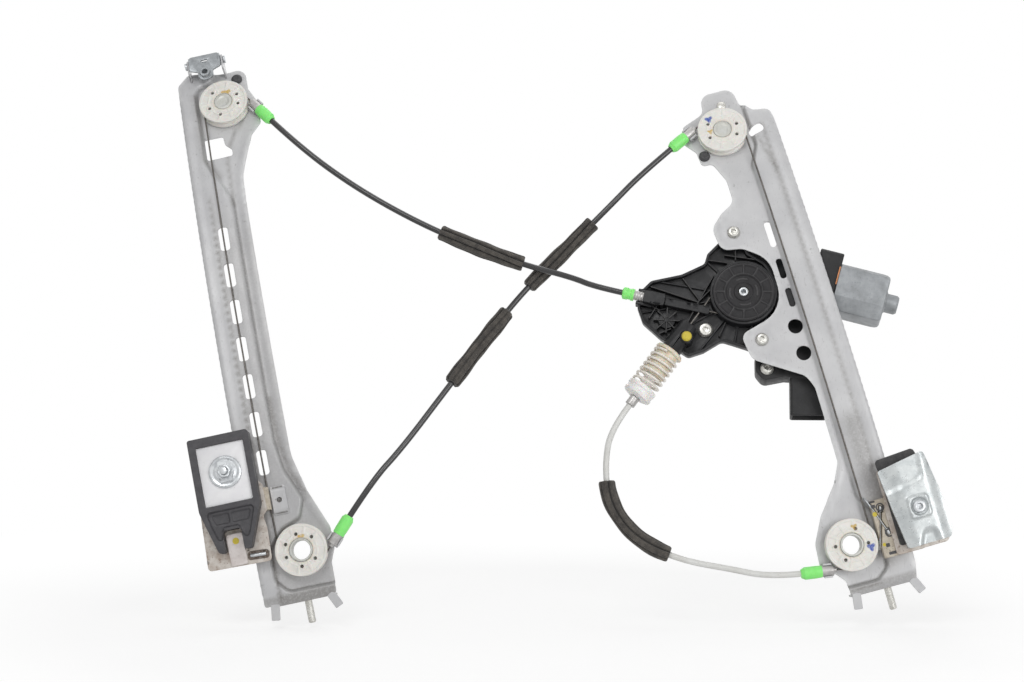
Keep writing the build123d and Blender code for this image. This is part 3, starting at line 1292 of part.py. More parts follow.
with BuildPart() as control_module:
    extrude(outline(DRIVE.offset(MODULE_BACK), MODULE_OUTLINE), amount=MODULE_FRONT - MODULE_BACK,
            dir=DRIVE.z_dir)
    add(round_bar(DRIVE, GEARCASE_RADIUS, MODULE_BACK - 1, MODULE_FRONT + 1), mode=Mode.SUBTRACT)
    with BuildSketch(SHROUD) as shroud:
        RectangleRounded(SHROUD_WIDE, SHROUD_DEEP, 2.5)
    extrude(shroud.sketch, amount=SHROUD_LENGTH)
    with BuildSketch(SHROUD.offset(SHROUD_LENGTH)) as socket:
        RectangleRounded(SHROUD_WIDE - 4, SHROUD_DEEP - 4, 1.5)
    extrude(socket.sketch, amount=-SOCKET_DEPTH, mode=Mode.SUBTRACT)
    with BuildSketch(DRIVE.offset(MODULE_FRONT)) as screw_hole:
        with Locations(MODULE_SCREW):
            Circle(SCREW_RADIUS)
    extrude(screw_hole.sketch, amount=-10, mode=Mode.SUBTRACT)
keep(control_module.part, "control_module")

with BuildPart() as connector_pins:
    with BuildSketch(SHROUD.offset(SHROUD_LENGTH - SOCKET_DEPTH - 3)) as pins:
        with GridLocations(5, 5, 4, 2):
            Rectangle(1.2, 1.2)
    extrude(pins.sketch, amount=15)
keep(connector_pins.part, "connector_pins")
with BuildPart() as bored_module:
    add(control_module.part)
    add(connector_pins.part, mode=Mode.SUBTRACT)
keep(bored_module.part, "control_module")


def screw(plane: Plane, base: float, length: float, head_radius: float, head: float) -> Part:
    """Screw with a domed flanged head, its seat at a level of the plane."""
    with BuildPart() as body:
        add(turned(plane, [
            (0, base - length), (SCREW_RADIUS, base - length), (SCREW_RADIUS, base), (head_radius, base),
            (head_radius, base + 1), (head_radius - 1.6, base + head), (0, base + head)]))
        with BuildSketch(plane.offset(base + head)) as drive_socket:
            RegularPolygon(2, 6)
        extrude(drive_socket.sketch, amount=-1.8, mode=Mode.SUBTRACT)
    return body.part


with BuildPart() as housing_screws:
    for lug in (UPPER_LUG, LOWER_LUG):
        add(screw(RIGHT.face(*lug), -TRAY_DEPTH, 9, SCREW_HEAD_RADIUS, 3.4))
    third = DRIVE.from_local_coords(Vector(*THIRD_SCREW, HOUSING_BACK + HOUSING_FLOOR))
    add(screw(Plane(origin=third, x_dir=DRIVE.x_dir, z_dir=DRIVE.z_dir), 0, 12, 6.4, 3.6))
    fourth = DRIVE.from_local_coords(Vector(*MODULE_SCREW, MODULE_FRONT))
    add(screw(Plane(origin=fourth, x_dir=DRIVE.x_dir, z_dir=DRIVE.z_dir), 0, 9, 5.6, 3.4))
keep(housing_screws.part, "housing_screws")


# Cable tensioner below the drum housing

TENSION_AXIS = LOWER_CABLE.plane(0)

with BuildPart() as tension_sleeve:
    add(turned(TENSION_AXIS, [
        (SOCKET_RADIUS, SLEEVE_START), (SLEEVE_COLLAR, SLEEVE_START), (SLEEVE_COLLAR, SPRING_START),
        (SLEEVE_OUTER, SPRING_START), (SLEEVE_OUTER, SLEEVE_END), (SOCKET_BORE, SLEEVE_END),
        (SOCKET_BORE, SOCKET_END), (SOCKET_RADIUS, SOCKET_END)]))
keep(tension_sleeve.part, "tension_sleeve")

with BuildPart() as tension_cap:
    add(turned(TENSION_AXIS, [
        (SOCKET_BORE, CAP_START), (CAP_RADIUS, CAP_START), (CAP_RADIUS, CAP_END - 2),
        (CAP_RADIUS - 2, CAP_END),
        (FERRULE_RADIUS, CAP_END), (FERRULE_RADIUS, CAP_END - 6), (SOCKET_BORE, CAP_END - 6)]))
keep(tension_cap.part, "tension_cap")

with BuildPart() as tension_pin:
    add(turned(TENSION_AXIS, [
        (1.6, 60), (SOCKET_BORE, 60), (SOCKET_BORE, CAP_END - 6), (CABLE_RADIUS, CAP_END - 6),
        (CABLE_RADIUS, CAP_END - 10), (1.6, CAP_END - 12)]))
keep(tension_pin.part, "tension_pin")

with BuildPart() as spring_coil:
    coil_length = CAP_START - SPRING_START - 2 * SPRING_WIRE
    with BuildLine() as path:
        Helix(coil_length / 6.5, coil_length, SPRING_RADIUS)
    with BuildSketch(Plane(origin=path.line @ 0, x_dir=(1, 0, 0), z_dir=path.line % 0)) as wire:
        Circle(SPRING_WIRE)
    sweep(wire.sketch, path=path.line, is_frenet=True)
with BuildPart() as tension_spring:
    with Locations(TENSION_AXIS.offset(SPRING_START + SPRING_WIRE).location):
        add(spring_coil.part)
keep(tension_spring.part, "tension_spring")


# Conduits: each made whole along its route between two ferrules


def route(points: list, label: str) -> Wire:
    """Smooth path through straight runs and tangent arcs; prints the bend radii it uses."""
    radii = []
    for before, corner, after in zip(points, points[1:], points[2:]):
        into = corner - before
        out = after - corner
        half = radians(into.get_angle(out)) / 2
        radii.append(0.45 * min(into.length, out.length) / tan(half))
    print(label, "bends", [round(r) for r in radii])
    with BuildLine() as path:
        FilletPolyline(*points, radius=radii)
    return path.wire()


def ends_to(start: Vector, start_lead: Vector, middle: list, end_lead: Vector, end: Vector) -> list:
    return [start, start_lead, *[Vector(*p) for p in middle], end_lead, end]


UPPER_ROUTE = ends_to(
    LEFT_TOP.at(FERRULE_END), LEFT_TOP.at(FERRULE_END + LEAD_RUN),
    [(-442, 82, 333), (-395, 75, 305), (-349, 70, 283), (-294, 65.5, 262), (-251, 65, 251)],
    UPPER_CABLE.at(UPPER_CONDUIT + 30), UPPER_CABLE.at(UPPER_CONDUIT))
CROSS_ROUTE = ends_to(
    RIGHT_TOP.at(FERRULE_END), RIGHT_TOP.at(FERRULE_END + LEAD_RUN),
    [(-217, 82, 313), (-255, 83, 275), (-291, 74, 240), (-322, 55, 201), (-354, 33, 159), (-390, 13, 111)],
    LEFT_LOW.at(FERRULE_END + LEAD_RUN), LEFT_LOW.at(FERRULE_END))
LOWER_ROUTE = ends_to(
    LOWER_CABLE.at(LOWER_CONDUIT), LOWER_CABLE.at(LOWER_CONDUIT + 26),
    [(-226, 8, 100), (-224, 3, 72), (-210, 0, 48), (-188, -2, 31), (-160, -4, 21), (-130, -5, 16)],
    RIGHT_LOW.at(FERRULE_END + 34), RIGHT_LOW.at(FERRULE_END))
UPPER_PATH = route(UPPER_ROUTE, "upper conduit")
CROSS_PATH = route(CROSS_ROUTE, "cross conduit")
LOWER_PATH = route(LOWER_ROUTE, "lower conduit")

CONDUIT_PATHS = {"conduit_upper": UPPER_PATH, "conduit_cross": CROSS_PATH, "conduit_lower": LOWER_PATH}
for name, path in CONDUIT_PATHS.items():
    conduit = tube(path, CONDUIT_RADIUS)
    print(name, "length", round(path.length, 1), "volume ratio",
          round(conduit.volume / (pi * CONDUIT_RADIUS**2 * path.length), 4))
    keep(conduit, name)

SLEEVES = [(UPPER_PATH, 0.53, 0.74), (CROSS_PATH, 0.237, 0.412), (CROSS_PATH, 0.48, 0.66),
           (LOWER_PATH, 0.265, 0.565)]

with BuildPart() as foam_sleeves:
    for path, start, end in SLEEVES:
        add(tube(path.trim(start, end), SLEEVE_RADIUS, CONDUIT_RADIUS))
keep(foam_sleeves.part, "foam_sleeves")


def rail_ferrule(end: CableEnd) -> Part:
    return turned(end.line_plane, [
        (CABLE_RADIUS, FERRULE_NOSE), (2, FERRULE_NOSE), (2, FERRULE_START),
        (FERRULE_RADIUS, FERRULE_START), (FERRULE_RADIUS, FERRULE_END), (0, FERRULE_END),
        (0, FERRULE_NOSE + 4), (CABLE_RADIUS, FERRULE_NOSE + 4)])


def drum_ferrule(cable: DrumCable, start: float, end: float) -> Part:
    return turned(cable.plane(0), [
        (CABLE_RADIUS, start), (FERRULE_RADIUS, start), (FERRULE_RADIUS, end), (0, end),
        (0, start + 4), (CABLE_RADIUS, start + 4)])


with BuildPart() as end_ferrules:
    for end in RAIL_ENDS:
        add(rail_ferrule(end))
    add(drum_ferrule(UPPER_CABLE, UPPER_SEAT + 2, UPPER_CONDUIT))
    add(drum_ferrule(LOWER_CABLE, CAP_END - 6, LOWER_CONDUIT))
keep(end_ferrules.part, "end_ferrules")


def collar(plane: Plane, start: float, joint: float, end: float) -> Part:
    """Soft collar over a ferrule's end and the first part of its conduit."""
    return turned(plane, [
        (FERRULE_RADIUS, start), (COLLAR_RADIUS, start), (COLLAR_RADIUS, end - 3), (COLLAR_RADIUS - 1.6, end),
        (CONDUIT_RADIUS, end), (CONDUIT_RADIUS, joint), (FERRULE_RADIUS, joint)])


with BuildPart() as ferrule_collars:
    for end in RAIL_ENDS:
        add(collar(end.line_plane, COLLAR_START, FERRULE_END, COLLAR_END))
    add(collar(UPPER_CABLE.plane(0), UPPER_CONDUIT - 4, UPPER_CONDUIT, UPPER_CONDUIT + 6))
keep(ferrule_collars.part, "ferrule_collars")

with BuildPart() as cable_leads:
    add(round_bar(UPPER_CABLE.plane(0), CABLE_RADIUS, 9, UPPER_SEAT + 6))
    add(round_bar(LOWER_CABLE.plane(0), CABLE_RADIUS, 9, CAP_END - 2))
keep(cable_leads.part, "cable_leads")
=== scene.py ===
"""Looks of a cable window regulator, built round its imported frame.

Sizes are millimetres until a mesh is made, which is in metres in the frame's own axes: +X to the
right, +Z up, the regulator seen along +Y.
"""
import json
import logging
from collections.abc import Callable, Sequence
from dataclasses import dataclass, field
from enum import Enum

import bmesh
import bpy
import numpy as np
from mathutils import Matrix, Vector
from mathutils.geometry import delaunay_2d_cdt


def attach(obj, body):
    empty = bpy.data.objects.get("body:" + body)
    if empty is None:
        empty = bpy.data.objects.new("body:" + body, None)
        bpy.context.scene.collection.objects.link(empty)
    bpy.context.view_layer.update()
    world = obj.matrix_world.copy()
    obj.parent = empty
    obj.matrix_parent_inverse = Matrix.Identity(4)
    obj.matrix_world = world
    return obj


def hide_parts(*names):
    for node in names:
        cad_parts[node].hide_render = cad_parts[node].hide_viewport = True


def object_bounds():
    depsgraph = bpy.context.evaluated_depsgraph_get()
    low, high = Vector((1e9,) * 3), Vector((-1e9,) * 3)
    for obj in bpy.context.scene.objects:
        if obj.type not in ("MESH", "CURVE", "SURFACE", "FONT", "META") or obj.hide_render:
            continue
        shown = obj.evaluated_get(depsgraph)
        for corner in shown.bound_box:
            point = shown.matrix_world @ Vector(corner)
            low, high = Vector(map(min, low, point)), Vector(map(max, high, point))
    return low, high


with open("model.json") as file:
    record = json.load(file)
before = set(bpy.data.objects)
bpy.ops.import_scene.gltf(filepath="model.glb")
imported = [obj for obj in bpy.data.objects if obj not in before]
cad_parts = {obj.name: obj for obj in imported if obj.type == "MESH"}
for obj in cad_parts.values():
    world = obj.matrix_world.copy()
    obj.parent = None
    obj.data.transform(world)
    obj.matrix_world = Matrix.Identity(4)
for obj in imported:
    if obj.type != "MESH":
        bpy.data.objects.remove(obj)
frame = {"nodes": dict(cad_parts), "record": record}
CAD_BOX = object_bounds()

Array = np.ndarray
Corner = tuple[float, float, float]
Place = Callable[[Array, Array, Array], Array]
MM = 0.001
TOWARDS = np.array([0.0, -1.0, 0.0])
LOG = logging.getLogger("window_regulator")
BODY_OF = {node: body for body, nodes in frame["record"]["behaviour"]["bodies"].items() for node in nodes}

RAIL_RADIUS = 1300.0
LEAN_AT_FOOT = np.radians(8.0)
SHEET = 1.5
TRAY_DEPTH = 4.0
CABLE_RADIUS = 0.75
CABLE_PROUD = 1.2
PITCH_RADIUS = 18.0
FLANGE_HEIGHT = -38.5
STUD_SETBACK = 9.0

# Points nearer than these are one: in a triangulation and in a finished mesh
WELD_MM = 1e-5
MERGE_MM = 0.004

# Shares of the spacing: how far free points stay from an outline, and the cell that keeps one of them
RIM_CLEAR = 0.55
POINT_CELL = 0.28

# Width of the step at the edge of a rail's tray, and where points are added beside it
TRAY_STEP = 3.4
TRAY_OFFSETS = (-2.6, -1.6, -0.6, 0.6, 1.6, 2.6)

# Values of a noise between which a pattern fades in, then what specks, stains with painted shade, and streaks
# measure
PATCH_FADE = (0.38, 0.64)
STREAK_FADE = (0.60, 0.74)
STAIN_AND_SHADE_FADE = (0.25, 0.55)
ROUGH_FADE = (0.3, 0.7)
SPECK_EDGE, SPECK_SHIFT, SPECK_BLUR, SPECK_COVER = 0.72, 0.22, 0.05, 0.75
STAIN_AND_SHADE_MM, STAIN_AND_SHADE_LEAST = 1.6, 0.45
STREAK_MM, STREAK_STRETCH = 1.1, 0.035


# Placing points


@dataclass(frozen=True)
class Placement:
    """A spot on the regulator: an origin and three square directions, in millimetres."""

    origin: Array
    x: Array
    y: Array
    z: Array

    def at(self, x: Array, y: Array, z: Array) -> Array:
        """Points at local coordinates; the arrays may have any matching shapes."""
        x, y, z = (np.asarray(v, float)[..., None] for v in (x, y, z))
        return self.origin + x * self.x + y * self.y + z * self.z

    def at_side(self, x: Array, z: Array, level: Array) -> Array:
        """Points of a flat piece that faces back along y: its own x and z, and how far it stands out."""
        return self.at(x, -np.asarray(level), z)

    def moved(self, x: float, y: float, z: float) -> "Placement":
        """The same directions at another local point."""
        return Placement(self.at(x, y, z), self.x, self.y, self.z)

    def turned(self, degrees: float) -> "Placement":
        """The placement turned about its own z.

        Args:
            degrees: Angle from x towards y.

        Returns:
            A placement with the same origin and z.
        """
        turn = np.radians(degrees)
        x = self.x * np.cos(turn) + self.y * np.sin(turn)
        return Placement(self.origin, x, np.cross(self.z, x), self.z)


@dataclass(frozen=True)
class Rail:
    """A curved rail, placed by the centre of its lower pulley and its tilt in the door."""

    foot: Array
    tilt: float

    @property
    def across(self) -> Array:
        """Direction across the rail."""
        return np.array([np.cos(np.radians(self.tilt)), 0, np.sin(np.radians(self.tilt))])

    @property
    def up(self) -> Array:
        """Direction up the rail, without its lean."""
        return np.array([-np.sin(np.radians(self.tilt)), 0, np.cos(np.radians(self.tilt))])

    def outward(self, height: Array) -> Array:
        """Direction out of the front face at a height over the lower pulley."""
        lean = np.arcsin(np.asarray(height) / RAIL_RADIUS + np.sin(LEAN_AT_FOOT))[..., None]
        return np.cos(lean) * TOWARDS + np.sin(lean) * self.up

    def along(self, height: Array) -> Array:
        """Direction up the rail's curve at a height."""
        lean = np.arcsin(np.asarray(height) / RAIL_RADIUS + np.sin(LEAN_AT_FOOT))[..., None]
        return np.sin(lean) * -TOWARDS + np.cos(lean) * self.up

    def point(self, across: Array, height: Array, proud: Array) -> Array:
        """Points of the rail: the curvature centre plus the radius and what stands proud of it.

        Args:
            across: Distance from the line through both pulleys.
            height: Height over the lower pulley.
            proud: Distance out of the front face.

        Returns:
            Points with one more axis than the inputs.
        """
        centre = self.foot - RAIL_RADIUS * (np.cos(LEAN_AT_FOOT) * TOWARDS + np.sin(LEAN_AT_FOOT) * self.up)
        across, proud = (np.asarray(v, float)[..., None] for v in (across, proud))
        return centre + across * self.across + self.outward(height) * (RAIL_RADIUS + proud)

    def face(self, across: float, height: float, proud: float = 0.0) -> Placement:
        """Placement on the front face, z out of it and x across the rail."""
        return Placement(self.point(across, height, proud), self.across, self.along(height),
                         self.outward(height))


def stud_offset(tilt: float, across: float) -> Array:
    """Place of a lower stud's shoulder, seen from the lower pulley of its rail."""
    rail = Rail(np.zeros(3), tilt)
    return rail.point(across, FLANGE_HEIGHT, -STUD_SETBACK) - rail.along(FLANGE_HEIGHT) * SHEET


RIGHT = Rail(-stud_offset(15.0, 20.0), 15.0)
LEFT = Rail(RIGHT.foot + np.array([-439.2, 0, -4.0]), 12.1)


@dataclass(frozen=True)
class CableEnd:
    """Where the rail's cable leaves a pulley towards its conduit."""

    rail: Rail
    height: float
    heading: float
    side: int

    @property
    def plane(self) -> Placement:
        """Placement of the groove: origin on the axle."""
        return self.rail.face(0, self.height, CABLE_PROUD)

    def groove(self, degrees: Array) -> Array:
        """Points of the cable in the groove: pitch radius times the cosine and sine."""
        turn = np.radians(degrees)
        return self.plane.at(PITCH_RADIUS * np.cos(turn), PITCH_RADIUS * np.sin(turn), 0 * turn)

    def at(self, distance: Array) -> Array:
        """Points on the straight cable, at distances from where it leaves the groove.

        Args:
            distance: Distances from where it leaves the groove.

        Returns:
            Points with one more axis than the input.
        """
        distance = np.asarray(distance, float)
        turn, heading = np.radians(self.heading + 90 * self.side), np.radians(self.heading)
        x = PITCH_RADIUS * np.cos(turn) + distance * np.cos(heading)
        y = PITCH_RADIUS * np.sin(turn) + distance * np.sin(heading)
        return self.plane.at(x, y, 0 * distance)

    @property
    def line(self) -> Placement:
        """Placement square to the straight cable, z towards the conduit."""
        z = self.at(1) - self.at(0)
        return Placement(self.at(0), self.plane.z, np.cross(z, self.plane.z), z)


LEFT_TOP = CableEnd(LEFT, 379.0, -58, 1)
LEFT_LOW = CableEnd(LEFT, 0.0, 46, -1)
RIGHT_TOP = CableEnd(RIGHT, 353.5, -153, -1)
RIGHT_LOW = CableEnd(RIGHT, 0.0, 172, 1)
DRIVE = RIGHT.face(-24.3, 217.5).turned(-31.0)
DRUM_PITCH_RADIUS = 20.5
CABLE_LEVEL = -6.8
HOUSING_BACK = -15.5


@dataclass(frozen=True)
class DrumCable:
    """Straight cable between the drum and a conduit, given by its heading towards the drum."""

    heading: float
    side: int

    def at(self, distance: Array) -> Array:
        """Points on the cable, at distances from where it leaves the drum.

        Args:
            distance: Distances from where it leaves the drum.

        Returns:
            Points with one more axis than the input.
        """
        distance = np.asarray(distance, float)
        turn = np.radians(self.heading)
        x = DRUM_PITCH_RADIUS * np.sin(turn) * self.side - distance * np.cos(turn)
        y = -DRUM_PITCH_RADIUS * np.cos(turn) * self.side - distance * np.sin(turn)
        return DRIVE.at(x, y, 0 * distance + CABLE_LEVEL)

    @property
    def line(self) -> Placement:
        """Placement square to the cable, z away from the drum and x out of the drive."""
        z = self.at(1) - self.at(0)
        return Placement(self.at(0), DRIVE.z, np.cross(z, DRIVE.z), z)


UPPER_CABLE = DrumCable(2.4, 1)
LOWER_CABLE = DrumCable(69.6, -1)


# Finishes


def linear(colour: str) -> tuple[float, float, float, float]:
    """Linear RGBA of an sRGB hex colour.

    Args:
        colour: Hash sign and six hex digits.

    Returns:
        Red, green, blue and alpha.
    """
    shares = np.array([int(colour[i:i + 2], 16) for i in (1, 3, 5)]) / 255
    bright = np.where(shares <= 0.04045, shares / 12.92, ((shares + 0.055) / 1.055) ** 2.4)
    return (*bright.tolist(), 1.0)


def add_node(tree: bpy.types.NodeTree, kind: str, values: dict | None = None, links: dict | None = None,
             **settings: object) -> bpy.types.Node:
    """Add a node with its settings and links.

    Args:
        tree: Node tree of the material or world.
        kind: Type name of the node.
        values: Input socket to the value that it holds.
        links: Input socket to the output socket that feeds it.
        settings: Properties of the node itself.

    Returns:
        The new node.
    """
    node = tree.nodes.new(kind)
    for name, value in settings.items():
        setattr(node, name, value)
    for socket, value in (values or {}).items():
        node.inputs[socket].default_value = value
    for socket, source in (links or {}).items():
        tree.links.new(source, node.inputs[socket])
    return node


@dataclass(frozen=True)
class Finish:
    """A real surface. Pattern sizes and bump heights are millimetres."""

    name: str
    colour: str
    patch: str
    patch_mm: float = 25.0
    patch_share: float = 0.6
    speck: str = "#6d6860"
    speck_mm: float = 2.0
    speck_share: float = 0.0
    roughness: float = 0.5
    roughness_spread: float = 0.1
    metallic: float = 0.0
    grain_mm: float = 0.8
    grain_height: float = 0.03
    streak: float = 0.0
    streak_turn: float = 0.0
    # Attribute and colour of each mark: real stains, painted shade and painted highlights
    stains_and_shade: tuple[tuple[str, str], ...] = ()
    coat: float = 0.0
    subsurface: float = 0.0
    transmission: float = 0.0
    sheen: float = 0.0
    specular: float = 0.5

    def noise(self, tree: bpy.types.NodeTree, coordinates: bpy.types.NodeSocket, size: float,
              detail: float = 3.0) -> bpy.types.NodeSocket:
        """Value noise whose features are about a size in millimetres."""
        values = {"Scale": 1 / (size * MM), "Detail": detail, "Roughness": 0.6}
        return add_node(tree, "ShaderNodeTexNoise", values, {"Vector": coordinates}).outputs[0]

    def ranged(self, tree: bpy.types.NodeTree, value: bpy.types.NodeSocket, low: float, high: float,
               to_low: float = 0.0, to_high: float = 1.0) -> bpy.types.NodeSocket:
        """A value moved from one range to another, held at both ends."""
        limits = {"From Min": low, "From Max": high, "To Min": to_low, "To Max": to_high}
        return add_node(tree, "ShaderNodeMapRange", limits, {"Value": value}).outputs["Result"]

    def over(self, tree: bpy.types.NodeTree, share: bpy.types.NodeSocket, below: bpy.types.NodeSocket,
             colour: str) -> bpy.types.NodeSocket:
        """A colour laid over another by a share."""
        node = add_node(tree, "ShaderNodeMix", {7: linear(colour)}, {0: share, 6: below}, data_type="RGBA")
        return node.outputs[2]

    def material(self) -> bpy.types.Material:
        """The node material: broad patches, specks, streaks, stains, painted shade and painted highlights by
        attribute, roughness and grain.

        Returns:
            The material, made once per finish.
        """
        if self.name in bpy.data.materials:
            return bpy.data.materials[self.name]
        material = bpy.data.materials.new(self.name)
        material.use_nodes = True
        material.diffuse_color = linear(self.colour)
        tree = material.node_tree
        tree.nodes.clear()
        place = add_node(tree, "ShaderNodeTexCoord").outputs["Object"]
        patches = self.noise(tree, place, self.patch_mm, 4.0)
        broad = self.ranged(tree, patches, *PATCH_FADE, 0.0, self.patch_share)
        colours = {6: linear(self.colour), 7: linear(self.patch)}
        base = add_node(tree, "ShaderNodeMix", colours, {0: broad}, data_type="RGBA").outputs[2]
        if self.speck_share > 0:
            edge = SPECK_EDGE - SPECK_SHIFT * self.speck_share
            dots = self.noise(tree, place, self.speck_mm, 5.0)
            speck = self.ranged(tree, dots, edge - SPECK_BLUR, edge + SPECK_BLUR, 0, SPECK_COVER)
            base = self.over(tree, speck, base, self.speck)
        height = self.noise(tree, place, self.grain_mm, 2.0)
        if self.streak > 0:
            along = {"Rotation": (0, np.radians(self.streak_turn), 0), "Scale": (1, 1, STREAK_STRETCH)}
            turned = add_node(tree, "ShaderNodeMapping", along, {"Vector": place}).outputs[0]
            fine = self.noise(tree, turned, STREAK_MM, 6.0)
            rub = self.ranged(tree, fine, *STREAK_FADE, 0, self.streak)
            base = self.over(tree, rub, base, self.speck)
            both = {0: height, 1: fine}
            height = add_node(tree, "ShaderNodeMath", {}, both, operation="ADD").outputs[0]
        for attribute, colour in self.stains_and_shade:
            mask = add_node(tree, "ShaderNodeAttribute", attribute_name=attribute).outputs["Fac"]
            ragged = self.noise(tree, place, STAIN_AND_SHADE_MM, 4.0)
            broken = self.ranged(tree, ragged, *STAIN_AND_SHADE_FADE, STAIN_AND_SHADE_LEAST, 1.0)
            both = {0: mask, 1: broken}
            share = add_node(tree, "ShaderNodeMath", {}, both, operation="MULTIPLY").outputs[0]
            base = self.over(tree, share, base, colour)
        uneven = self.noise(tree, place, self.patch_mm * 0.4, 5.0)
        least = max(0.05, self.roughness - self.roughness_spread)
        rough = self.ranged(tree, uneven, *ROUGH_FADE, least, self.roughness + self.roughness_spread)
        bump = add_node(tree, "ShaderNodeBump", {"Strength": 1.0, "Distance": self.grain_height * MM},
                        {"Height": height}).outputs[0]
        fixed = {"Metallic": self.metallic, "Coat Weight": self.coat, "Coat Roughness": 0.25,
                 "Subsurface Weight": self.subsurface, "Subsurface Scale": 0.002,
                 "Transmission Weight": self.transmission, "Sheen Weight": self.sheen,
                 "Specular IOR Level": self.specular}
        shader = add_node(tree, "ShaderNodeBsdfPrincipled", fixed,
                          {"Base Color": base, "Roughness": rough, "Normal": bump})
        add_node(tree, "ShaderNodeOutputMaterial", {}, {"Surface": shader.outputs[0]})
        return material


# Each finish gives its name, colour, patch colour, patch size and share, speck colour, size and share,
# roughness and its spread, metallic share, grain size and height, then what is its own.

# Galvanised sheet with a thin silver paint: soft sheen, faint mottling, rub marks along the rail
# Its pale stain lightens the sheet along its outline; its middle stain darkens towards the foot and lays
# painted shade over the tray and painted shadow lines; its darkest stain is a painted shadow along the tray's
# step and painted shade in the clip's hole and gaps
RAIL_STEEL = Finish("painted_galvanised_steel", "#cccccd", "#bdbdbf", 38, 0.8, "#8d8c8b", 5, 0.1, 0.42, 0.07,
                    0.12, 0.9, 0.02, 0.5, -13,
                    (("edge", "#dfe0e0"), ("shade", "#83807d"), ("soot", "#5f5c58")))
# Moulded acetal: waxy off-white, soft highlights, dust in its pockets, painted shade in its small holes
ACETAL = Finish("moulded_acetal", "#f2f0ea", "#e6e3dc", 9, 0.7, "#b5afa4", 1.2, 0.12, 0.42, 0.08,
                stains_and_shade=(("pit", "#4d4a45"), ("grease", "#d3b266"), ("paint", "#3f5bb0")), subsurface=0.08)
# Clinched steel axle, zinc plated and matt
AXLE_STEEL = Finish("clinched_zinc_steel", "#c2c3bf", "#b3b2a8", 5, 0.7, "#8e8a7c", 1.5, 0.2, 0.45, 0.1, 0.45)
ZINC = Finish("zinc_plated_steel", "#c9ccce", "#a9acaf", 7, 0.8, "#7d7c78", 1.4, 0.15, 0.33, 0.12, 0.75, 0.5,
              0.02)
BOLT_ZINC = Finish("yellowed_zinc_steel", "#d2d1cc", "#b1afa8", 4, 0.8, "#7c7a72", 1.2, 0.2, 0.30, 0.12, 0.7,
                   0.5, 0.02)
# Die-cast or heavy pressed zinc part that has gone dull grey
DULL_ZINC = Finish("dull_zinc", "#a7abae", "#8b8f92", 8, 0.9, "#55585a", 1.2, 0.2, 0.42, 0.1, 0.6, 0.5, 0.03)
# Moulded black nylon of the plugs; the same dark finish is the painted shade in the right shoe's holes
BLACK_PLUG_AND_HOLE_SHADE = Finish("moulded_black_nylon", "#3b3b3d", "#4c4c4e", 4, 0.6, "#777672", 1.0, 0.1, 0.55, 0.1)
# Steel wire rope, lightly oiled
WIRE = Finish("galvanised_wire_rope", "#6f6b67", "#504d49", 3, 0.8, "#393634", 0.8, 0.2, 0.38, 0.1, 0.6, 0.3,
              0.01)
# Polyamide conduit jackets
BLACK_JACKET = Finish("black_polyamide_jacket", "#171617", "#232223", 12, 0.5, "#5f5d5a", 1.5, 0.05, 0.24,
                      0.06, coat=0.4)
GREY_JACKET = Finish("grey_polyamide_jacket", "#e6e6e3", "#d8d7d2", 12, 0.7, "#918d84", 1.5, 0.1, 0.38, 0.08)
# Closed-cell foam: its dark stain is painted shade in the grooves
FOAM = Finish("closed_cell_foam", "#3b3835", "#5c5751", 5, 0.9, "#7b746b", 1.0, 0.3, 0.85, 0.08, grain_mm=0.7,
              grain_height=0.12, sheen=0.25, stains_and_shade=(("groove", "#201e1d"),))
GREEN = Finish("green_polypropylene", "#8efb7f", "#9dff8f", 4, 0.6, "#55b54b", 1.0, 0.08, 0.38, 0.06,
               subsurface=0.1)
FERRULE = Finish("cast_zinc_ferrule", "#bdbbb9", "#a09e9c", 4, 0.8, "#77746f", 0.8, 0.2, 0.38, 0.1, 0.55)
# Glass-filled polyamide: black, satin, with a fine grain and dust in its corners; its lighter stain is a
# painted highlight on the rib tops
HOUSING = Finish("glass_filled_polyamide", "#19191b", "#262628", 8, 0.8, "#4c4b49", 0.9, 0.08, 0.36, 0.1,
                 grain_mm=0.6, grain_height=0.03, stains_and_shade=(("rubbed", "#3f3e3e"),), specular=0.3)
# Drum cover: its lighter stain is a painted highlight on the rings, spokes and inner arcs
COVER = Finish("drum_cover_polyamide", "#1d1c1e", "#282729", 6, 0.8, "#605f5d", 0.7, 0.15, 0.40, 0.1,
               stains_and_shade=(("rubbed", "#4e4d4e"),), specular=0.25)
CONNECTOR = Finish("connector_polyamide", "#232324", "#2f2f30", 9, 0.7, "#5a5958", 1.0, 0.1, 0.46, 0.1,
                   specular=0.3)
# Drawn steel can with a zinc coat: cool grey, cloudy
CAN = Finish("zinc_coated_can", "#9da0a3", "#86898b", 11, 0.9, "#6b6e6f", 1.3, 0.3, 0.40, 0.1, 0.45, 0.5,
             0.05)
BOOT = Finish("translucent_polyamide", "#f2e9d6", "#dccfb8", 6, 0.8, "#8f8571", 1.0, 0.15, 0.38, 0.08,
              subsurface=0.25)
CAP = Finish("pale_polyamide", "#fcfbf9", "#f3f0eb", 6, 0.7, "#a09a90", 1.0, 0.1, 0.42, 0.08, subsurface=0.15)
SPRING = Finish("spring_steel", "#f4efe7", "#e2dbd0", 3, 0.8, "#a59d92", 0.8, 0.15, 0.26, 0.08, 0.1, 0.4,
                0.01)
CLAMP_PLASTIC = Finish("dark_moulded_frame", "#403f42", "#4d4c4f", 7, 0.8, "#6c6a69", 1.0, 0.2, 0.55, 0.1,
                       grain_mm=0.7, grain_height=0.05)
BRIGHT_PLATE = Finish("bright_plated_plate", "#fbfbfc", "#f1f0f3", 16, 0.7, "#bab8b6", 2.0, 0.05, 0.35, 0.08)
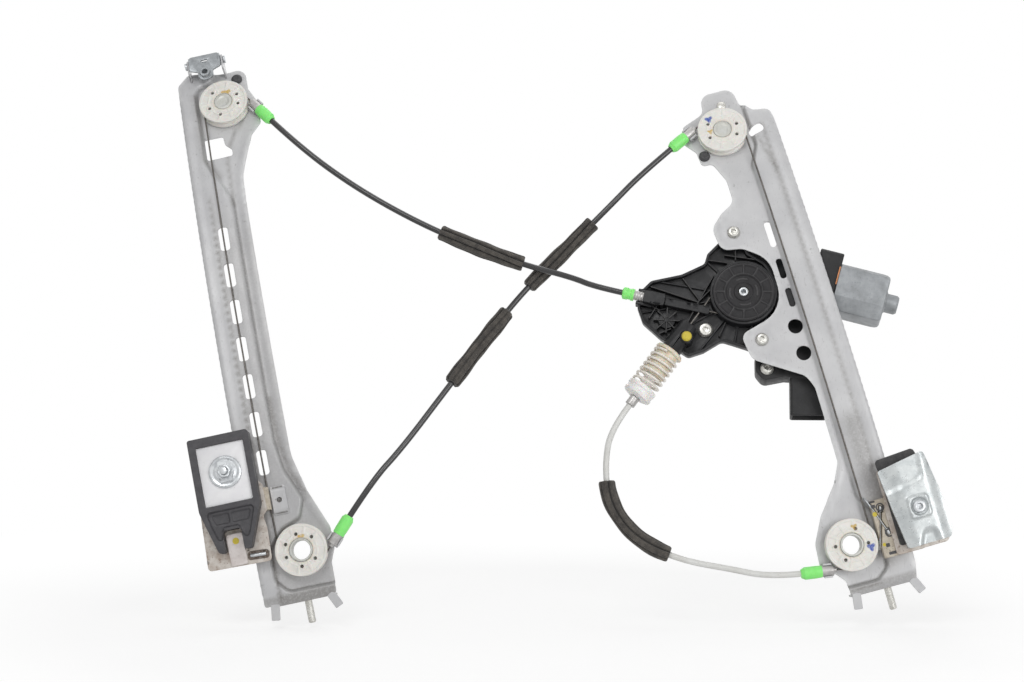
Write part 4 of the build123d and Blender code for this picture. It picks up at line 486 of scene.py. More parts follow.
# Steel plate with tan and brown rust stains
# Its darkest stain is painted shade in the sunk slot of the left carrier plate
STAINED_PLATE = Finish("stained_steel_plate", "#cbc5be", "#a99c91", 7, 0.9, "#7a6454", 2.2, 0.45, 0.48, 0.12,
                       0.35, 0.6, 0.04, stains_and_shade=(("soot", "#5c4f46"),))
TONGUE = Finish("plated_tongue", "#d8d1ce", "#c2b9b5", 6, 0.8, "#84766c", 1.4, 0.2, 0.42, 0.1, 0.35)
YELLOW = Finish("yellow_marking_paint", "#d8c545", "#c7b23a", 2, 0.6, "#9c8a35", 0.6, 0.1, 0.5, 0.1)
SLIDER = Finish("aged_acetal_shoe", "#cdc4b4", "#b3a896", 5, 0.9, "#6f6455", 1.4, 0.35, 0.5, 0.1,
                stains_and_shade=(("pit", "#2c2824"), ("yellow", "#d0c060")))
RUBBER = Finish("dusty_rubber", "#474748", "#595858", 4, 0.8, "#7d7c7a", 0.7, 0.2, 0.75, 0.08,
                grain_mm=0.6, grain_height=0.08, specular=0.3)
CLAMP_COVER = Finish("cast_zinc_cover", "#c8cccc", "#aeb3b4", 9, 0.9, "#767b7b", 1.6, 0.15, 0.33, 0.1, 0.5,
                     stains_and_shade=(("edge", "#dcdedc"), ("rust", "#b59b8e")))
DARK_STEEL = Finish("oiled_steel", "#77746f", "#5f5c58", 6, 0.8, "#4a4743", 1.2, 0.2, 0.35, 0.1, 0.85)
COPPER = Finish("commutator_copper", "#b07a58", "#96684a", 3, 0.7, "#6d4a33", 0.8, 0.2, 0.35, 0.1, 0.95)
MAGNET = Finish("sintered_ferrite", "#4c4a4a", "#3e3c3c", 5, 0.7, "#2e2c2c", 0.9, 0.2, 0.65, 0.1)
BRUSH = Finish("pressed_graphite", "#3a3836", "#2f2d2b", 3, 0.7, "#242220", 0.6, 0.2, 0.6, 0.1)
WHEEL = Finish("machined_acetal", "#d9d5c6", "#cbc6b5", 6, 0.7, "#a39d8b", 1.0, 0.1, 0.4, 0.08,
               subsurface=0.08)


# Making meshes


def grid_faces(rows: int, columns: int, around: bool, looped: bool) -> Array:
    """Corner numbers of the quads between neighbouring rows and columns of a grid.

    Args:
        rows: Rows of points.
        columns: Points in a row.
        around: Whether the last column joins the first.
        looped: Whether the last row joins the first.

    Returns:
        An array of four corner numbers per quad.
    """
    row = np.arange(rows if looped else rows - 1)[:, None]
    column = np.arange(columns if around else columns - 1)[None, :]
    below, right = (row + 1) % rows, (column + 1) % columns
    corners = (row * columns + column, row * columns + right, below * columns + right,
               below * columns + column)
    return np.stack(np.broadcast_arrays(*corners), -1).reshape(-1, 4)


class Shell(Enum):
    """Whether a piece's surface closes on itself."""

    CLOSED = "closed"
    OPEN = "open"


class Role(Enum):
    """Whether a piece stands for its CAD node or is trim on it."""

    WHOLE = "whole"
    TRIM = "trim"


@dataclass
class Piece:
    """One object of the scene, gathered from surfaces and then made a mesh."""

    name: str
    points: list[Array] = field(default_factory=list)
    faces: list[list[int]] = field(default_factory=list)
    marks: dict[str, list[Array]] = field(default_factory=dict)

    @property
    def count(self) -> int:
        """Number of points gathered so far."""
        return sum(len(part) for part in self.points)

    def add(self, points: Array, faces: Array | list, **marks: Array) -> "Piece":
        """Add points and faces, with values per point under names that a finish reads.

        Args:
            points: Points, in any grid.
            faces: Corner numbers counted from the first of these points.
            marks: Values per point, by attribute.

        Returns:
            The piece.
        """
        start = self.count
        self.points.append(points.reshape(-1, 3))
        self.faces.extend((np.asarray(faces) + start).tolist())
        for name, values in marks.items():
            missing = start - sum(len(v) for v in self.marks.get(name, []))
            self.marks.setdefault(name, []).extend([np.zeros(missing), np.ravel(values)])
        return self

    def grid(self, points: Array, around: bool = False, looped: bool = False, ends: bool = False,
             **marks: Array) -> "Piece":
        """Add a surface given as rows of points, and the flat ends of its first and last row.

        Args:
            points: Rows of points.
            around: Whether the last column joins the first.
            looped: Whether the last row joins the first.
            ends: Whether both end rows get a flat face.
            marks: Values per point, by attribute.

        Returns:
            The piece.
        """
        rows, columns = points.shape[:2]
        start = self.count
        self.add(points, grid_faces(rows, columns, around, looped), **marks)
        if ends:
            self.faces.append(list(range(start + columns - 1, start - 1, -1)))
            self.faces.append(list(range(start + (rows - 1) * columns, start + rows * columns)))
        return self

    def build(self, finish: Finish, node: str, role: Role = Role.WHOLE, shell: Shell = Shell.CLOSED,
              soften: float = 0.0, thick: float = 0.0, sharp: float = 40.0) -> bpy.types.Object:
        """Make the object, dress it and let it ride.

        Args:
            finish: What its surface is.
            node: CAD node that it belongs to.
            role: Whether it stands for that node.
            shell: Whether its normals are worked out anew.
            soften: Width of the rounded edges in millimetres.
            thick: Sheet thickness behind an open surface in millimetres.
            sharp: Angle in degrees past which an edge stays crisp.

        Returns:
            The finished object.
        """
        mesh = bpy.data.meshes.new(self.name)
        mesh.from_pydata((np.concatenate(self.points) * MM).tolist(), [], self.faces)
        for name, values in self.marks.items():
            full = np.concatenate(values)
            full = np.concatenate([full, np.zeros(len(mesh.vertices) - len(full))])
            mesh.attributes.new(name, "FLOAT", "POINT").data.foreach_set("value", full)
        tidy(mesh, shell)
        return dress(shown(self.name, mesh), finish, node, role, soften, thick, sharp)


def shown(name: str, data: bpy.types.ID) -> bpy.types.Object:
    """A new object in the scene.

    Args:
        name: Its name.
        data: Mesh, curve, lamp or camera that it holds.

    Returns:
        The object.
    """
    made = bpy.data.objects.new(name, data)
    bpy.context.scene.collection.objects.link(made)
    return made


def tidy(mesh: bpy.types.Mesh, shell: Shell, flat: float = 0.0) -> None:
    """Merge doubled points, drop flat leftovers and turn a closed shell's faces outward.

    Args:
        mesh: Mesh to change.
        shell: Whether normals are worked out anew.
        flat: Angle in degrees under which neighbouring faces are joined, or nought.
    """
    work = bmesh.new()
    work.from_mesh(mesh)
    bmesh.ops.remove_doubles(work, verts=work.verts, dist=MERGE_MM * MM)
    if flat > 0:
        bmesh.ops.dissolve_limit(work, angle_limit=np.radians(flat), verts=work.verts, edges=work.edges)
    if shell is Shell.CLOSED:
        bmesh.ops.recalc_face_normals(work, faces=work.faces)
    work.to_mesh(mesh)
    work.free()
    mesh.shade_smooth()


def dress(made: bpy.types.Object, finish: Finish, node: str, role: Role, soften: float, thick: float,
          sharp: float) -> bpy.types.Object:
    """Give an object its modifiers, its finish as its material, and its node's body.

    Args:
        made: Object to finish.
        finish: What its surface is.
        node: CAD node that it belongs to.
        role: Whether it stands for that node.
        soften: Width of the rounded edges in millimetres.
        thick: Sheet thickness behind an open surface in millimetres.
        sharp: Angle in degrees past which an edge stays crisp.

    Returns:
        The same object.
    """
    if thick > 0:
        solid = made.modifiers.new("sheet", "SOLIDIFY")
        solid.thickness, solid.offset, solid.use_even_offset = thick * MM, -1, True
    if soften > 0:
        bevel = made.modifiers.new("edges", "BEVEL")
        bevel.width, bevel.segments, bevel.angle_limit = soften * MM, 2, np.radians(sharp)
        bevel.limit_method, bevel.use_clamp_overlap, bevel.harden_normals = "ANGLE", False, True
    elif made.type == "MESH":
        made.data.set_sharp_from_angle(angle=np.radians(sharp))
    made.data.materials.clear()
    made.data.materials.append(finish.material())
    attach(made, BODY_OF[node])
    if role is Role.WHOLE:
        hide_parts(node)
    LOG.info("%s rides on %s, finish %s", made.name, BODY_OF[node], finish.name)
    return made


def softened(node: str, finish: Finish, soften: float = 0.3, sharp: float = 32.0) -> bpy.types.Object:
    """A merged copy of a CAD node with rounded edges, which stands for it.

    Args:
        node: CAD node.
        finish: What its surface is.
        soften: Width of the rounded edges in millimetres.
        sharp: Angle in degrees past which an edge is rounded.

    Returns:
        The copy.
    """
    mesh = frame["nodes"][node].data.copy()
    mesh.name = node + "_dressed"
    tidy(mesh, Shell.OPEN, 0.6)
    return dress(shown(mesh.name, mesh), finish, node, Role.WHOLE, soften, 0.0, sharp)


def rounded(corners: Sequence[Corner], steps: int = 7) -> Array:
    """Closed outline whose corners are arcs.

    A corner's arc is tangent to both its sides: its centre lies on their bisector, and its points
    are turned evenly from one tangent point to the other.

    Args:
        corners: Each corner's x, y and radius.
        steps: Points per arc.

    Returns:
        The outline's points, without the closing one.
    """
    given = np.array(corners, float)
    here, radius = given[:, :2], given[:, 2:]
    back, on = np.roll(here, 1, 0) - here, np.roll(here, -1, 0) - here
    long_back, long_on = (np.linalg.norm(v, axis=1, keepdims=True) for v in (back, on))
    back, on = back / long_back, on / long_on
    half = np.arccos(np.clip((back * on).sum(1, keepdims=True), -1, 1)) / 2
    reach = np.minimum(radius / np.tan(half), 0.49 * np.minimum(long_back, long_on))
    radius = reach * np.tan(half)
    bisector = back + on
    bisector /= np.maximum(np.linalg.norm(bisector, axis=1, keepdims=True), 1e-9)
    centre = here + bisector * radius / np.maximum(np.sin(half), 1e-9)
    first, last = here + back * reach - centre, here + on * reach - centre
    turn = (np.pi - 2 * half)[:, None]
    share = np.linspace(0, 1, steps)[None, :, None]
    safe = np.maximum(np.sin(turn), 1e-6)
    arc = (np.sin((1 - share) * turn) * first[:, None] + np.sin(share * turn) * last[:, None]) / safe
    points = (centre[:, None] + arc).reshape(-1, 2)
    points = np.where(np.repeat(radius < 1e-3, steps, 0), np.repeat(here, steps, 0), points)
    return points[np.linalg.norm(points - np.roll(points, 1, 0), axis=1) > 1e-3]


def divided(loop: Array, spacing: float) -> Array:
    """A closed outline with points added, so that none are further apart than a spacing.

    Args:
        loop: Closed outline.
        spacing: Greatest distance between points.

    Returns:
        The outline with its own corners and the added points.
    """
    ring = np.vstack([loop, loop[:1]])
    lengths = np.r_[0, np.cumsum(np.linalg.norm(np.diff(ring, axis=0), axis=1))]
    even = np.linspace(0, lengths[-1], int(lengths[-1] / spacing) + 2)
    nearest = np.abs(even[:, None] - lengths[None, :]).min(1)
    stops = np.sort(np.r_[lengths[:-1], even[nearest > 0.35 * spacing]])
    return np.stack([np.interp(stops, lengths, ring[:, i]) for i in (0, 1)], 1)


def angles(count: int) -> Array:
    """Evenly spaced angles of a full turn, from nought."""
    return np.linspace(0, 2 * np.pi, count, endpoint=False)


def circle(x: float, y: float, radius: float, count: int = 28) -> Array:
    """Round outline."""
    turn = angles(count)
    return np.stack([x + radius * np.cos(turn), y + radius * np.sin(turn)], 1)


def slot_outline(x: float, y: float, wide: float, tall: float, corner: float, turn: float = 0.0) -> Array:
    """Rounded box outline, turned about its middle.

    Args:
        x: Middle across.
        y: Middle along.
        wide: Size across.
        tall: Size along.
        corner: Corner radius.
        turn: Angle in degrees.

    Returns:
        The outline's points.
    """
    half = [(-wide / 2, -tall / 2, corner), (wide / 2, -tall / 2, corner), (wide / 2, tall / 2, corner),
            (-wide / 2, tall / 2, corner)]
    points = rounded(half, 5)
    c, s = np.cos(np.radians(turn)), np.sin(np.radians(turn))
    return points @ np.array([[c, s], [-s, c]]) + (x, y)


def distance(points: Array, line: Array, closed: bool = True) -> Array:
    """Least distance from each point to a line of straight runs.

    Args:
        points: Flat points.
        line: Corners of the line.
        closed: Whether its last corner joins its first.

    Returns:
        One distance per point.
    """
    start, end = (line, np.roll(line, -1, 0)) if closed else (line[:-1], line[1:])
    run = end - start
    along = ((points[:, None] - start) * run).sum(-1) / np.maximum((run**2).sum(-1), 1e-12)
    nearest = start + np.clip(along, 0, 1)[..., None] * run
    return np.linalg.norm(points[:, None] - nearest, axis=-1).min(1)


def inside(points: Array, loop: Array) -> Array:
    """Whether each point lies in a closed outline, by the count of sides it passes under.

    Args:
        points: Flat points.
        loop: Corners of the outline.

    Returns:
        One truth value per point.
    """
    x, y = points[:, :1], points[:, 1:]
    x0, y0 = loop[:, 0], loop[:, 1]
    x1, y1 = np.roll(x0, -1), np.roll(y0, -1)
    spans = (y0 > y) != (y1 > y)
    crossing = x0 + (y - y0) * (x1 - x0) / np.where(np.abs(y1 - y0) < 1e-12, 1e-12, y1 - y0)
    return ((spans & (x < crossing)).sum(1) % 2).astype(bool)


def depth_in(points: Array, loop: Array) -> Array:
    """Distance to a closed outline, positive within it and negative outside."""
    return distance(points, loop) * np.where(inside(points, loop), 1.0, -1.0)


def eased(value: Array) -> Array:
    """Smooth step from 0 to 1: three times the square less twice the cube."""
    share = np.clip(value, 0, 1)
    return share * share * (3 - 2 * share)


def triangulated(loops: Sequence[Array], free: Array) -> tuple[Array, Array, list[Array]]:
    """Well-shaped triangles over free points and over outlines, whose sides are kept as edges.

    Args:
        loops: Closed outlines.
        free: Points between them.

    Returns:
        Points, triangles and the point numbers of each outline.
    """
    starts = np.cumsum([0, *map(len, loops)])
    numbers = [np.arange(start, start + len(part)) for part, start in zip(loops, starts)]
    edges = np.concatenate([np.stack([ring, np.roll(ring, -1)], 1) for ring in numbers])
    given = [*map(Vector, np.concatenate([*loops, free]).tolist())]
    points, _, faces, *_ = delaunay_2d_cdt(given, edges.tolist(), [], 0, WELD_MM, False)
    triangles = np.array([face for face in faces if len(face) == 3])
    return np.array([*map(tuple, points)]), triangles, numbers


def meshed(loop: Array, holes: Sequence[Array], spacing: float, lines: Sequence[Array] = (),
           offsets: Sequence[float] = ()) -> tuple[Array, Array, list[Array]]:
    """Triangles over a flat outline with holes, finer beside the lines that a relief follows.

    Args:
        loop: Outer outline.
        holes: Outlines cut out of it.
        spacing: Distance between points on the open area.
        lines: Closed lines that a relief's steps follow.
        offsets: Distances to either side of the lines where points are added.

    Returns:
        Points, triangles and the point numbers of each outline.
    """
    loops = [divided(part, spacing) for part in (loop, *holes)]
    x, y = (np.arange(loop[:, i].min(), loop[:, i].max(), spacing) for i in (0, 1))
    even = np.stack(np.meshgrid(x, y), -1)
    even[1::2, :, 0] += spacing / 2
    extra = [even.reshape(-1, 2)]
    for line in lines:
        fine = divided(line, 0.7 * spacing)
        along = np.roll(fine, -1, 0) - np.roll(fine, 1, 0)
        size = np.maximum(np.linalg.norm(along, axis=1), 1e-9)[:, None]
        normal = np.stack([along[:, 1], -along[:, 0]], 1) / size
        extra.extend(fine + normal * offset for offset in offsets)
    free = np.concatenate(extra[::-1])
    rim = np.minimum.reduce([distance(free, part) for part in loops])
    free = free[(rim > RIM_CLEAR * spacing) & inside(free, loops[0])]
    cell = np.round(free / (POINT_CELL * spacing)).astype(int)
    free = free[np.sort(np.unique(cell, axis=0, return_index=True)[1])]
    points, faces, numbers = triangulated(loops, free)
    middle = points[faces].mean(1)
    kept = inside(middle, loops[0])
    for hole in loops[1:]:
        kept &= ~inside(middle, hole)
    return points, faces[kept], numbers


def flat_at(value: float) -> Callable[[Array], Array]:
    """A face of a slab that is flat, at one level."""
    return lambda points: np.full(len(points), value)


def slab(piece: Piece, place: Place, loop: Array, holes: Sequence[Array], front: Callable[[Array], Array],
         back: float, spacing: float, lines: Sequence[Array] = (), offsets: Sequence[float] = (),
         **marks: Callable[[Array], Array]) -> Piece:
    """Add a closed plate: a relief in front, a level back, and walls down every outline.

    Args:
        piece: Piece that takes the plate.
        place: Turns across, height and level into points.
        loop: Outer outline.
        holes: Outlines cut through it.
        front: Level of the front face at flat points.
        back: Level of the back face.
        spacing: Distance between points.
        lines: Lines that the relief's steps follow.
        offsets: Distances beside the lines where points are added.
        marks: Shares at flat points, under names that a finish reads.

    Returns:
        The piece.
    """
    flat, faces, borders = meshed(loop, holes, spacing, lines, offsets)
    count = len(flat)
    levels = np.concatenate([front(flat), np.full(count, back)])
    both = np.concatenate([flat, flat])
    walls = [np.stack([ring, np.roll(ring, -1), np.roll(ring, -1) + count, ring + count], 1)
             for ring in borders]
    start = piece.count
    shares = {name: np.concatenate([share(flat), np.zeros(count)]) for name, share in marks.items()}
    piece.add(place(both[:, 0], both[:, 1], levels), np.concatenate([faces, faces[:, ::-1] + count]),
              **shares)
    piece.faces.extend((np.concatenate(walls) + start).tolist())
    return piece


def turned_points(place: Placement, profile: Array, count: int = 64) -> Array:
    """A half section turned about z: radius times cosine and sine, at its own level.

    Args:
        place: Placement whose z is the axis.
        profile: Radius and level of each row.
        count: Points round the axis.

    Returns:
        Rows of points.
    """
    turn = angles(count)[None, :]
    radius, level = profile[:, :1], profile[:, 1:]
    return place.at(radius * np.cos(turn), radius * np.sin(turn), level + 0 * turn)


def lathe(piece: Piece, place: Placement, corners: Sequence[Corner], count: int = 64) -> Piece:
    """Add a body of revolution from a closed half section: radius, level and rounding of each corner."""
    return piece.grid(turned_points(place, rounded(corners, 4), count), around=True, looped=True)


def square_to(path: Array, reference: Array) -> tuple[Array, Array]:
    """Two directions square to a path at each point: the reference less its part along, and their cross.

    Args:
        path: Points in order.
        reference: Direction that the first one leans to.

    Returns:
        Both directions at each point.
    """
    along = np.gradient(path, axis=0)
    along /= np.linalg.norm(along, axis=1, keepdims=True)
    first = reference - (along @ reference)[:, None] * along
    first /= np.linalg.norm(first, axis=1, keepdims=True)
    return first, np.cross(along, first)


def carried(path: Array, reference: Array, x: Array, y: Array) -> Array:
    """A profile carried along a path: the point plus x and y times the two square directions.

    Args:
        path: Points in order.
        reference: Direction that x leans to.
        x: Profile's x, the same or one row per point.
        y: Profile's y, likewise.

    Returns:
        Rows of points.
    """
    first, second = square_to(path, reference)
    x, y = (np.broadcast_to(v, (len(path), np.shape(v)[-1]))[..., None] for v in (x, y))
    return path[:, None] + x * first[:, None] + y * second[:, None]


def lengths_of(path: Array) -> Array:
    """Distance along a path to each of its points."""
    return np.r_[0, np.cumsum(np.linalg.norm(np.diff(path, axis=0), axis=1))]


def evened(path: Array, spacing: float) -> Array:
    """A path with its points at an even spacing.

    Args:
        path: Points in order.
        spacing: Distance between the new points.

    Returns:
        The new points.
    """
    far = lengths_of(path)
    stops = np.linspace(0, far[-1], max(3, int(far[-1] / spacing)))
    return np.stack([np.interp(stops, far, path[:, i]) for i in range(3)], 1)


def rope(piece: Piece, path: Array, reference: Array, radius: float = CABLE_RADIUS,
         lay: float = 7.0) -> Piece:
    """Add a stranded rope: six lobes whose angle turns with the distance over the lay.

    The radius is 0.84 plus 0.16 times the size of the cosine of three times the turned angle.

    Args:
        piece: Piece that takes the rope.
        path: Points in order.
        reference: Direction that the lobes' angles start from.
        radius: Outer radius.
        lay: Length of a full turn of the lobes.

    Returns:
        The piece.
    """
    path = evened(path, 0.55)
    far = lengths_of(path)[:, None]
    angle = angles(24)[None, :]
    size = radius * (0.84 + 0.16 * np.abs(np.cos(3 * (angle - 2 * np.pi * far / lay))))
    return piece.grid(carried(path, reference, size * np.cos(angle), size * np.sin(angle)), around=True,
                      ends=True)


def rod(piece: Piece, path: Array, reference: Array, radius: float, count: int = 16) -> Piece:
    """Add a round wire along a path, with flat ends.

    Args:
        piece: Piece that takes the wire.
        path: Points in order.
        reference: Direction that its angles start from.
        radius: Its radius.
        count: Points round it.

    Returns:
        The piece.
    """
    angle = angles(count)
    return piece.grid(carried(path, reference, radius * np.cos(angle), radius * np.sin(angle)), around=True,
                      ends=True)


# Rails


@dataclass(frozen=True)
class Step:
    """A pressed step of a sheet: what lies within the outline is moved out by a height."""

    loop: Array
    height: float
    width: float

    def at(self, points: Array) -> Array:
        """Level that the step adds at flat points."""
        return self.height * eased(depth_in(points, self.loop) / self.width + 0.5)


@dataclass(frozen=True)
class Bead:
    """A pressed ridge or groove along a line, with a bell-shaped section."""

    line: Array
    height: float
    half_width: float

    def at(self, points: Array) -> Array:
        """Level that the bead adds at flat points."""
        far = distance(points, self.line, closed=False)
        return self.height * np.exp(-((far / self.half_width) ** 2))


@dataclass
class PressedRail:
    """A rail pressed from one sheet, with its edges folded back.

    The flange has its two ends across, the lip its edge, side, low and high end. Quiet heights have
    a fainter painted shadow at the tray step, a share of painted shade lies over the tray, and each
    painted shadow is a line with a half width.
    """

    name: str
    rail: Rail
    outline: list[Corner]
    tray: list[Corner]
    holes: list[Array]
    beads: list[Bead]
    flange: tuple[float, float]
    lip: tuple[float, int, float, float]
    tabs: list[tuple[float, float]]
    quiet: tuple[float, float] = (500, 500)
    tray_shade: float = 0.0
    shadows: list[tuple[Array, float]] = field(default_factory=list)
    fold: float = 2.0
    lip_depth: float = 8.0
    flange_depth: float = 20.0
    spacing: float = 3.2

    def folded(self, flat: Array, line: float, side: int) -> tuple[Array, Array]:
        """Where a developed sheet's points go across a fold, and how far behind the face.

        Past the fold's start the sheet turns through a quarter circle and then runs straight back.

        Args:
            flat: Developed distances square to the fold.
            line: Where the folded sheet's outer face ends up.
            side: Side of the fold, -1 or 1.

        Returns:
            Distances square to the fold, and depths.
        """
        past = (flat - (line - side * self.fold)) * side
        turn = np.clip(past / self.fold, 0, np.pi / 2)
        straight = np.maximum(past - self.fold * np.pi / 2, 0)
        placed = np.where(past > 0, line - side * self.fold + side * self.fold * np.sin(turn), flat)
        return placed, self.fold * (1 - np.cos(turn)) + straight

    def developed(self) -> Array:
        """The outline with the lip and the flange laid flat.

        Returns:
            The closed outline of the flat blank.
        """
        edge, side, low, high = self.lip
        over = self.fold * np.pi / 2 + self.lip_depth - self.fold
        reach = edge - side * self.fold + side * over
        down = FLANGE_HEIGHT - SHEET + self.fold - self.fold * np.pi / 2 - (self.flange_depth - self.fold)
        left, right = self.flange
        points = rounded(self.outline)
        lip = [(edge - side * 1.0, low, 0), (reach, low, 2), (reach, high, 2), (edge - side * 1.0, high, 0)]
        fold = [(left, FLANGE_HEIGHT, 0), (left, down, 3), (right, down, 3), (right, FLANGE_HEIGHT, 0)]
        return self.joined(self.joined(points, rounded(lip, 4)), rounded(fold, 4))

    def joined(self, first: Array, second: Array) -> Array:
        """Outer outline of two overlapping outlines, from the triangulation's own boundary.

        Args:
            first: Closed outline.
            second: Closed outline that overlaps it.

        Returns:
            The closed outline round both.
        """
        loops = [divided(first, 6.0), divided(second, 6.0)]
        points, faces, _ = triangulated(loops, np.empty((0, 2)))
        middle = points[faces].mean(1)
        faces = faces[inside(middle, loops[0]) | inside(middle, loops[1])]
        sides = np.concatenate([faces[:, [0, 1]], faces[:, [1, 2]], faces[:, [2, 0]]])
        codes = sides[:, 0] * len(points) + sides[:, 1]
        turned = sides[:, 1] * len(points) + sides[:, 0]
        outer = sides[~np.isin(codes, turned)]
        after = dict(outer.tolist())
        order = [int(outer[0, 0])]
        while after[order[-1]] != order[0]:
            order.append(after[order[-1]])
        return points[order]

    def step_shadow_share(self, flat: Array) -> Array:
        """Share of the painted shadow along the tray's step, low over the quiet heights."""
        low, high = self.quiet
        return 1 - 0.85 * eased((flat[:, 1] - low) / 12) * eased((high - flat[:, 1]) / 12)

    def shaded(self, flat: Array) -> Array:
        """Share of the darker tone: darker towards the foot of the rail, painted shade over the tray below
        its top, and painted shadows along lines with a half width each.

        Args:
            flat: Flat points of the blank.

        Returns:
            A share per point.
        """
        across, height = flat[:, 0], flat[:, 1]
        foot = 0.5 * eased((-30 - height) / 3) + self.tray_shade * (across > -25) * eased((310 - height) / 60)
        bells = (np.exp(-((distance(flat, line, closed=False) / wide) ** 2)) for line, wide in self.shadows)
        return foot + sum(0.55 * bell for bell in bells)

    def build(self) -> bpy.types.Object:
        """Press, fold and dress the rail.

        Returns:
            The rail.
        """
        tray = Step(rounded(self.tray), -TRAY_DEPTH, TRAY_STEP)
        lines = [divided(tray.loop, 2.0)]
        lines = [line[np.abs(line[:, 0]) < 60] for line in lines]
        flat, faces, _ = meshed(self.developed(), self.holes, self.spacing, lines, TRAY_OFFSETS)
        edge, side, _, _ = self.lip
        across, lip_drop = self.folded(flat[:, 0], edge, side)
        height, flange_drop = self.folded(flat[:, 1], FLANGE_HEIGHT - SHEET, -1)
        rim = distance(flat, rounded(self.outline))
        relief = tray.at(flat) + sum(bead.at(flat) for bead in self.beads)
        relief = relief * eased((height - FLANGE_HEIGHT - 1) / 5)
        piece = Piece(self.name + "_pressing")
        # Painted shadow along the tray's step, strongest just inside its outline
        soot = np.exp(-((depth_in(flat, tray.loop) / 0.9 - 1.0) ** 2)) * 0.6 * self.step_shadow_share(flat)
        shade = self.shaded(flat)
        piece.add(self.rail.point(across, height, relief - lip_drop - flange_drop), faces,
                  edge=np.exp(-rim / 0.9) * 0.6, soot=soot, shade=shade)
        return piece.build(RAIL_STEEL, self.name, shell=Shell.OPEN, soften=0.28, thick=SHEET, sharp=50)

    def fittings(self, ends: Sequence[CableEnd]) -> Piece:
        """Corner tabs of the flange and the cradles that hold the ferrules.

        Args:
            ends: Cable ends that a cradle holds.

        Returns:
            The piece, not yet built.
        """
        piece = Piece(self.name + "_cradles_and_tabs")
        for across, lean in self.tabs:
            place = self.rail.face(across, FLANGE_HEIGHT, 0).turned(lean)
            slab(piece, place.at, slot_outline(0, -5.5, 7, 13, 1.2), [], flat_at(-0.05), -1.45, 3.0)
        for end in ends:
            place = end.line
            angle = np.radians(np.linspace(90, 270, 15))
            out, inn, open_side = 5.8, 4.25, 1.5
            arc = np.stack([np.cos(angle), np.sin(angle)], 1)
            section = np.concatenate([[(open_side, out)], arc * out, [(open_side, -out)],
                                      [(open_side, -inn)], arc[::-1] * inn, [(open_side, inn)]])
            level = np.array([18.0, 18.4, 24.6, 25.0])[:, None]
            size = np.array([0.97, 1.0, 1.0, 0.97])[:, None]
            piece.grid(place.at(section[:, 0] * size, section[:, 1] * size, level + 0 * section[:, 0]),
                       around=True, ends=True)
            foot = np.array([(-5.2, 4.6), (-5.2, -4.6), (-6.7, -4.6), (-6.7, 4.6)])
            piece.grid(place.at(foot[:, 0] + 0 * level[:2], foot[:, 1] + 0 * level[:2],
                                np.array([[16.0], [27.0]])), around=True, ends=True)
        return piece


LEFT_RAIL = PressedRail(
    name="left_rail", rail=LEFT,
    outline=[(-38.5, -39, 3), (-38.5, 404, 6), (-28, 413, 4), (4, 410, 3), (21.5, 411, 8), (21.5, 392, 5),
             (28, 378, 4), (28, 359, 4), (19, 350, 6), (6, 316, 40), (5.2, 290, 30), (5.2, 76, 60),
             (13, 45, 20), (25.5, 14, 8), (25.5, -4, 6), (21, -14, 5), (20.5, -39, 3)],
    tray=[(80, -31, 0), (-17, -30, 8), (-26.5, -19, 9), (-25.5, 6, 10), (-12, 20, 8), (3, 26, 7), (8, 40, 7),
          (-3, 66, 25), (-6.4, 90, 30), (-6, 296, 25), (-23.5, 330, 10), (-24, 398, 9), (-8, 403, 6),
          (-2, 440, 0), (80, 440, 0)],
    holes=[*(slot_outline(-17.9, 74.5 + k * 31.25, 8.3, 20, 2.5) for k in range(7)),
           rounded([(-22, 334, 2), (0, 334.5, 2), (0, 340, 3), (-5.5, 345.5, 4), (-6, 353, 2),
                    (-22, 353, 2)]), circle(0, 0, 8.4), circle(-10, 42.5, 1.6)],
    beads=[Bead(np.array([(-30.5, -20), (-30.5, 395)]), -0.7, 1.8),
           Bead(np.array([(-11.5, 62), (-11.5, 318)]), 0.5, 1.6),
           Bead(np.array([(22.5, -8), (22.5, 14), (10.5, 45), (2.8, 76), (2.8, 290), (4.0, 316), (16, 349)]),
                1.3, 2.2)],
    flange=(-33, 19), lip=(-38.5, -1, -32, 396), tabs=[(-29.5, -8), (16, 25)], quiet=(290, 500), tray_shade=0.3,
    shadows=[(np.array([(13, 40), (2, 62), (-3, 90), (-4, 125)]), 1.7),
             (np.array([(-33, -35), (19, -35)]), 0.8), (np.array([(-24.5, -34), (-24.5, 300)]), 1.3),
             (np.array([(-5.8, 290), (-5, 335), (3, 352), (14, 366), (22, 380)]), 1.6),
             (np.array([(-14, 318), (-24, 334), (-24, 392)]), 2.5)])
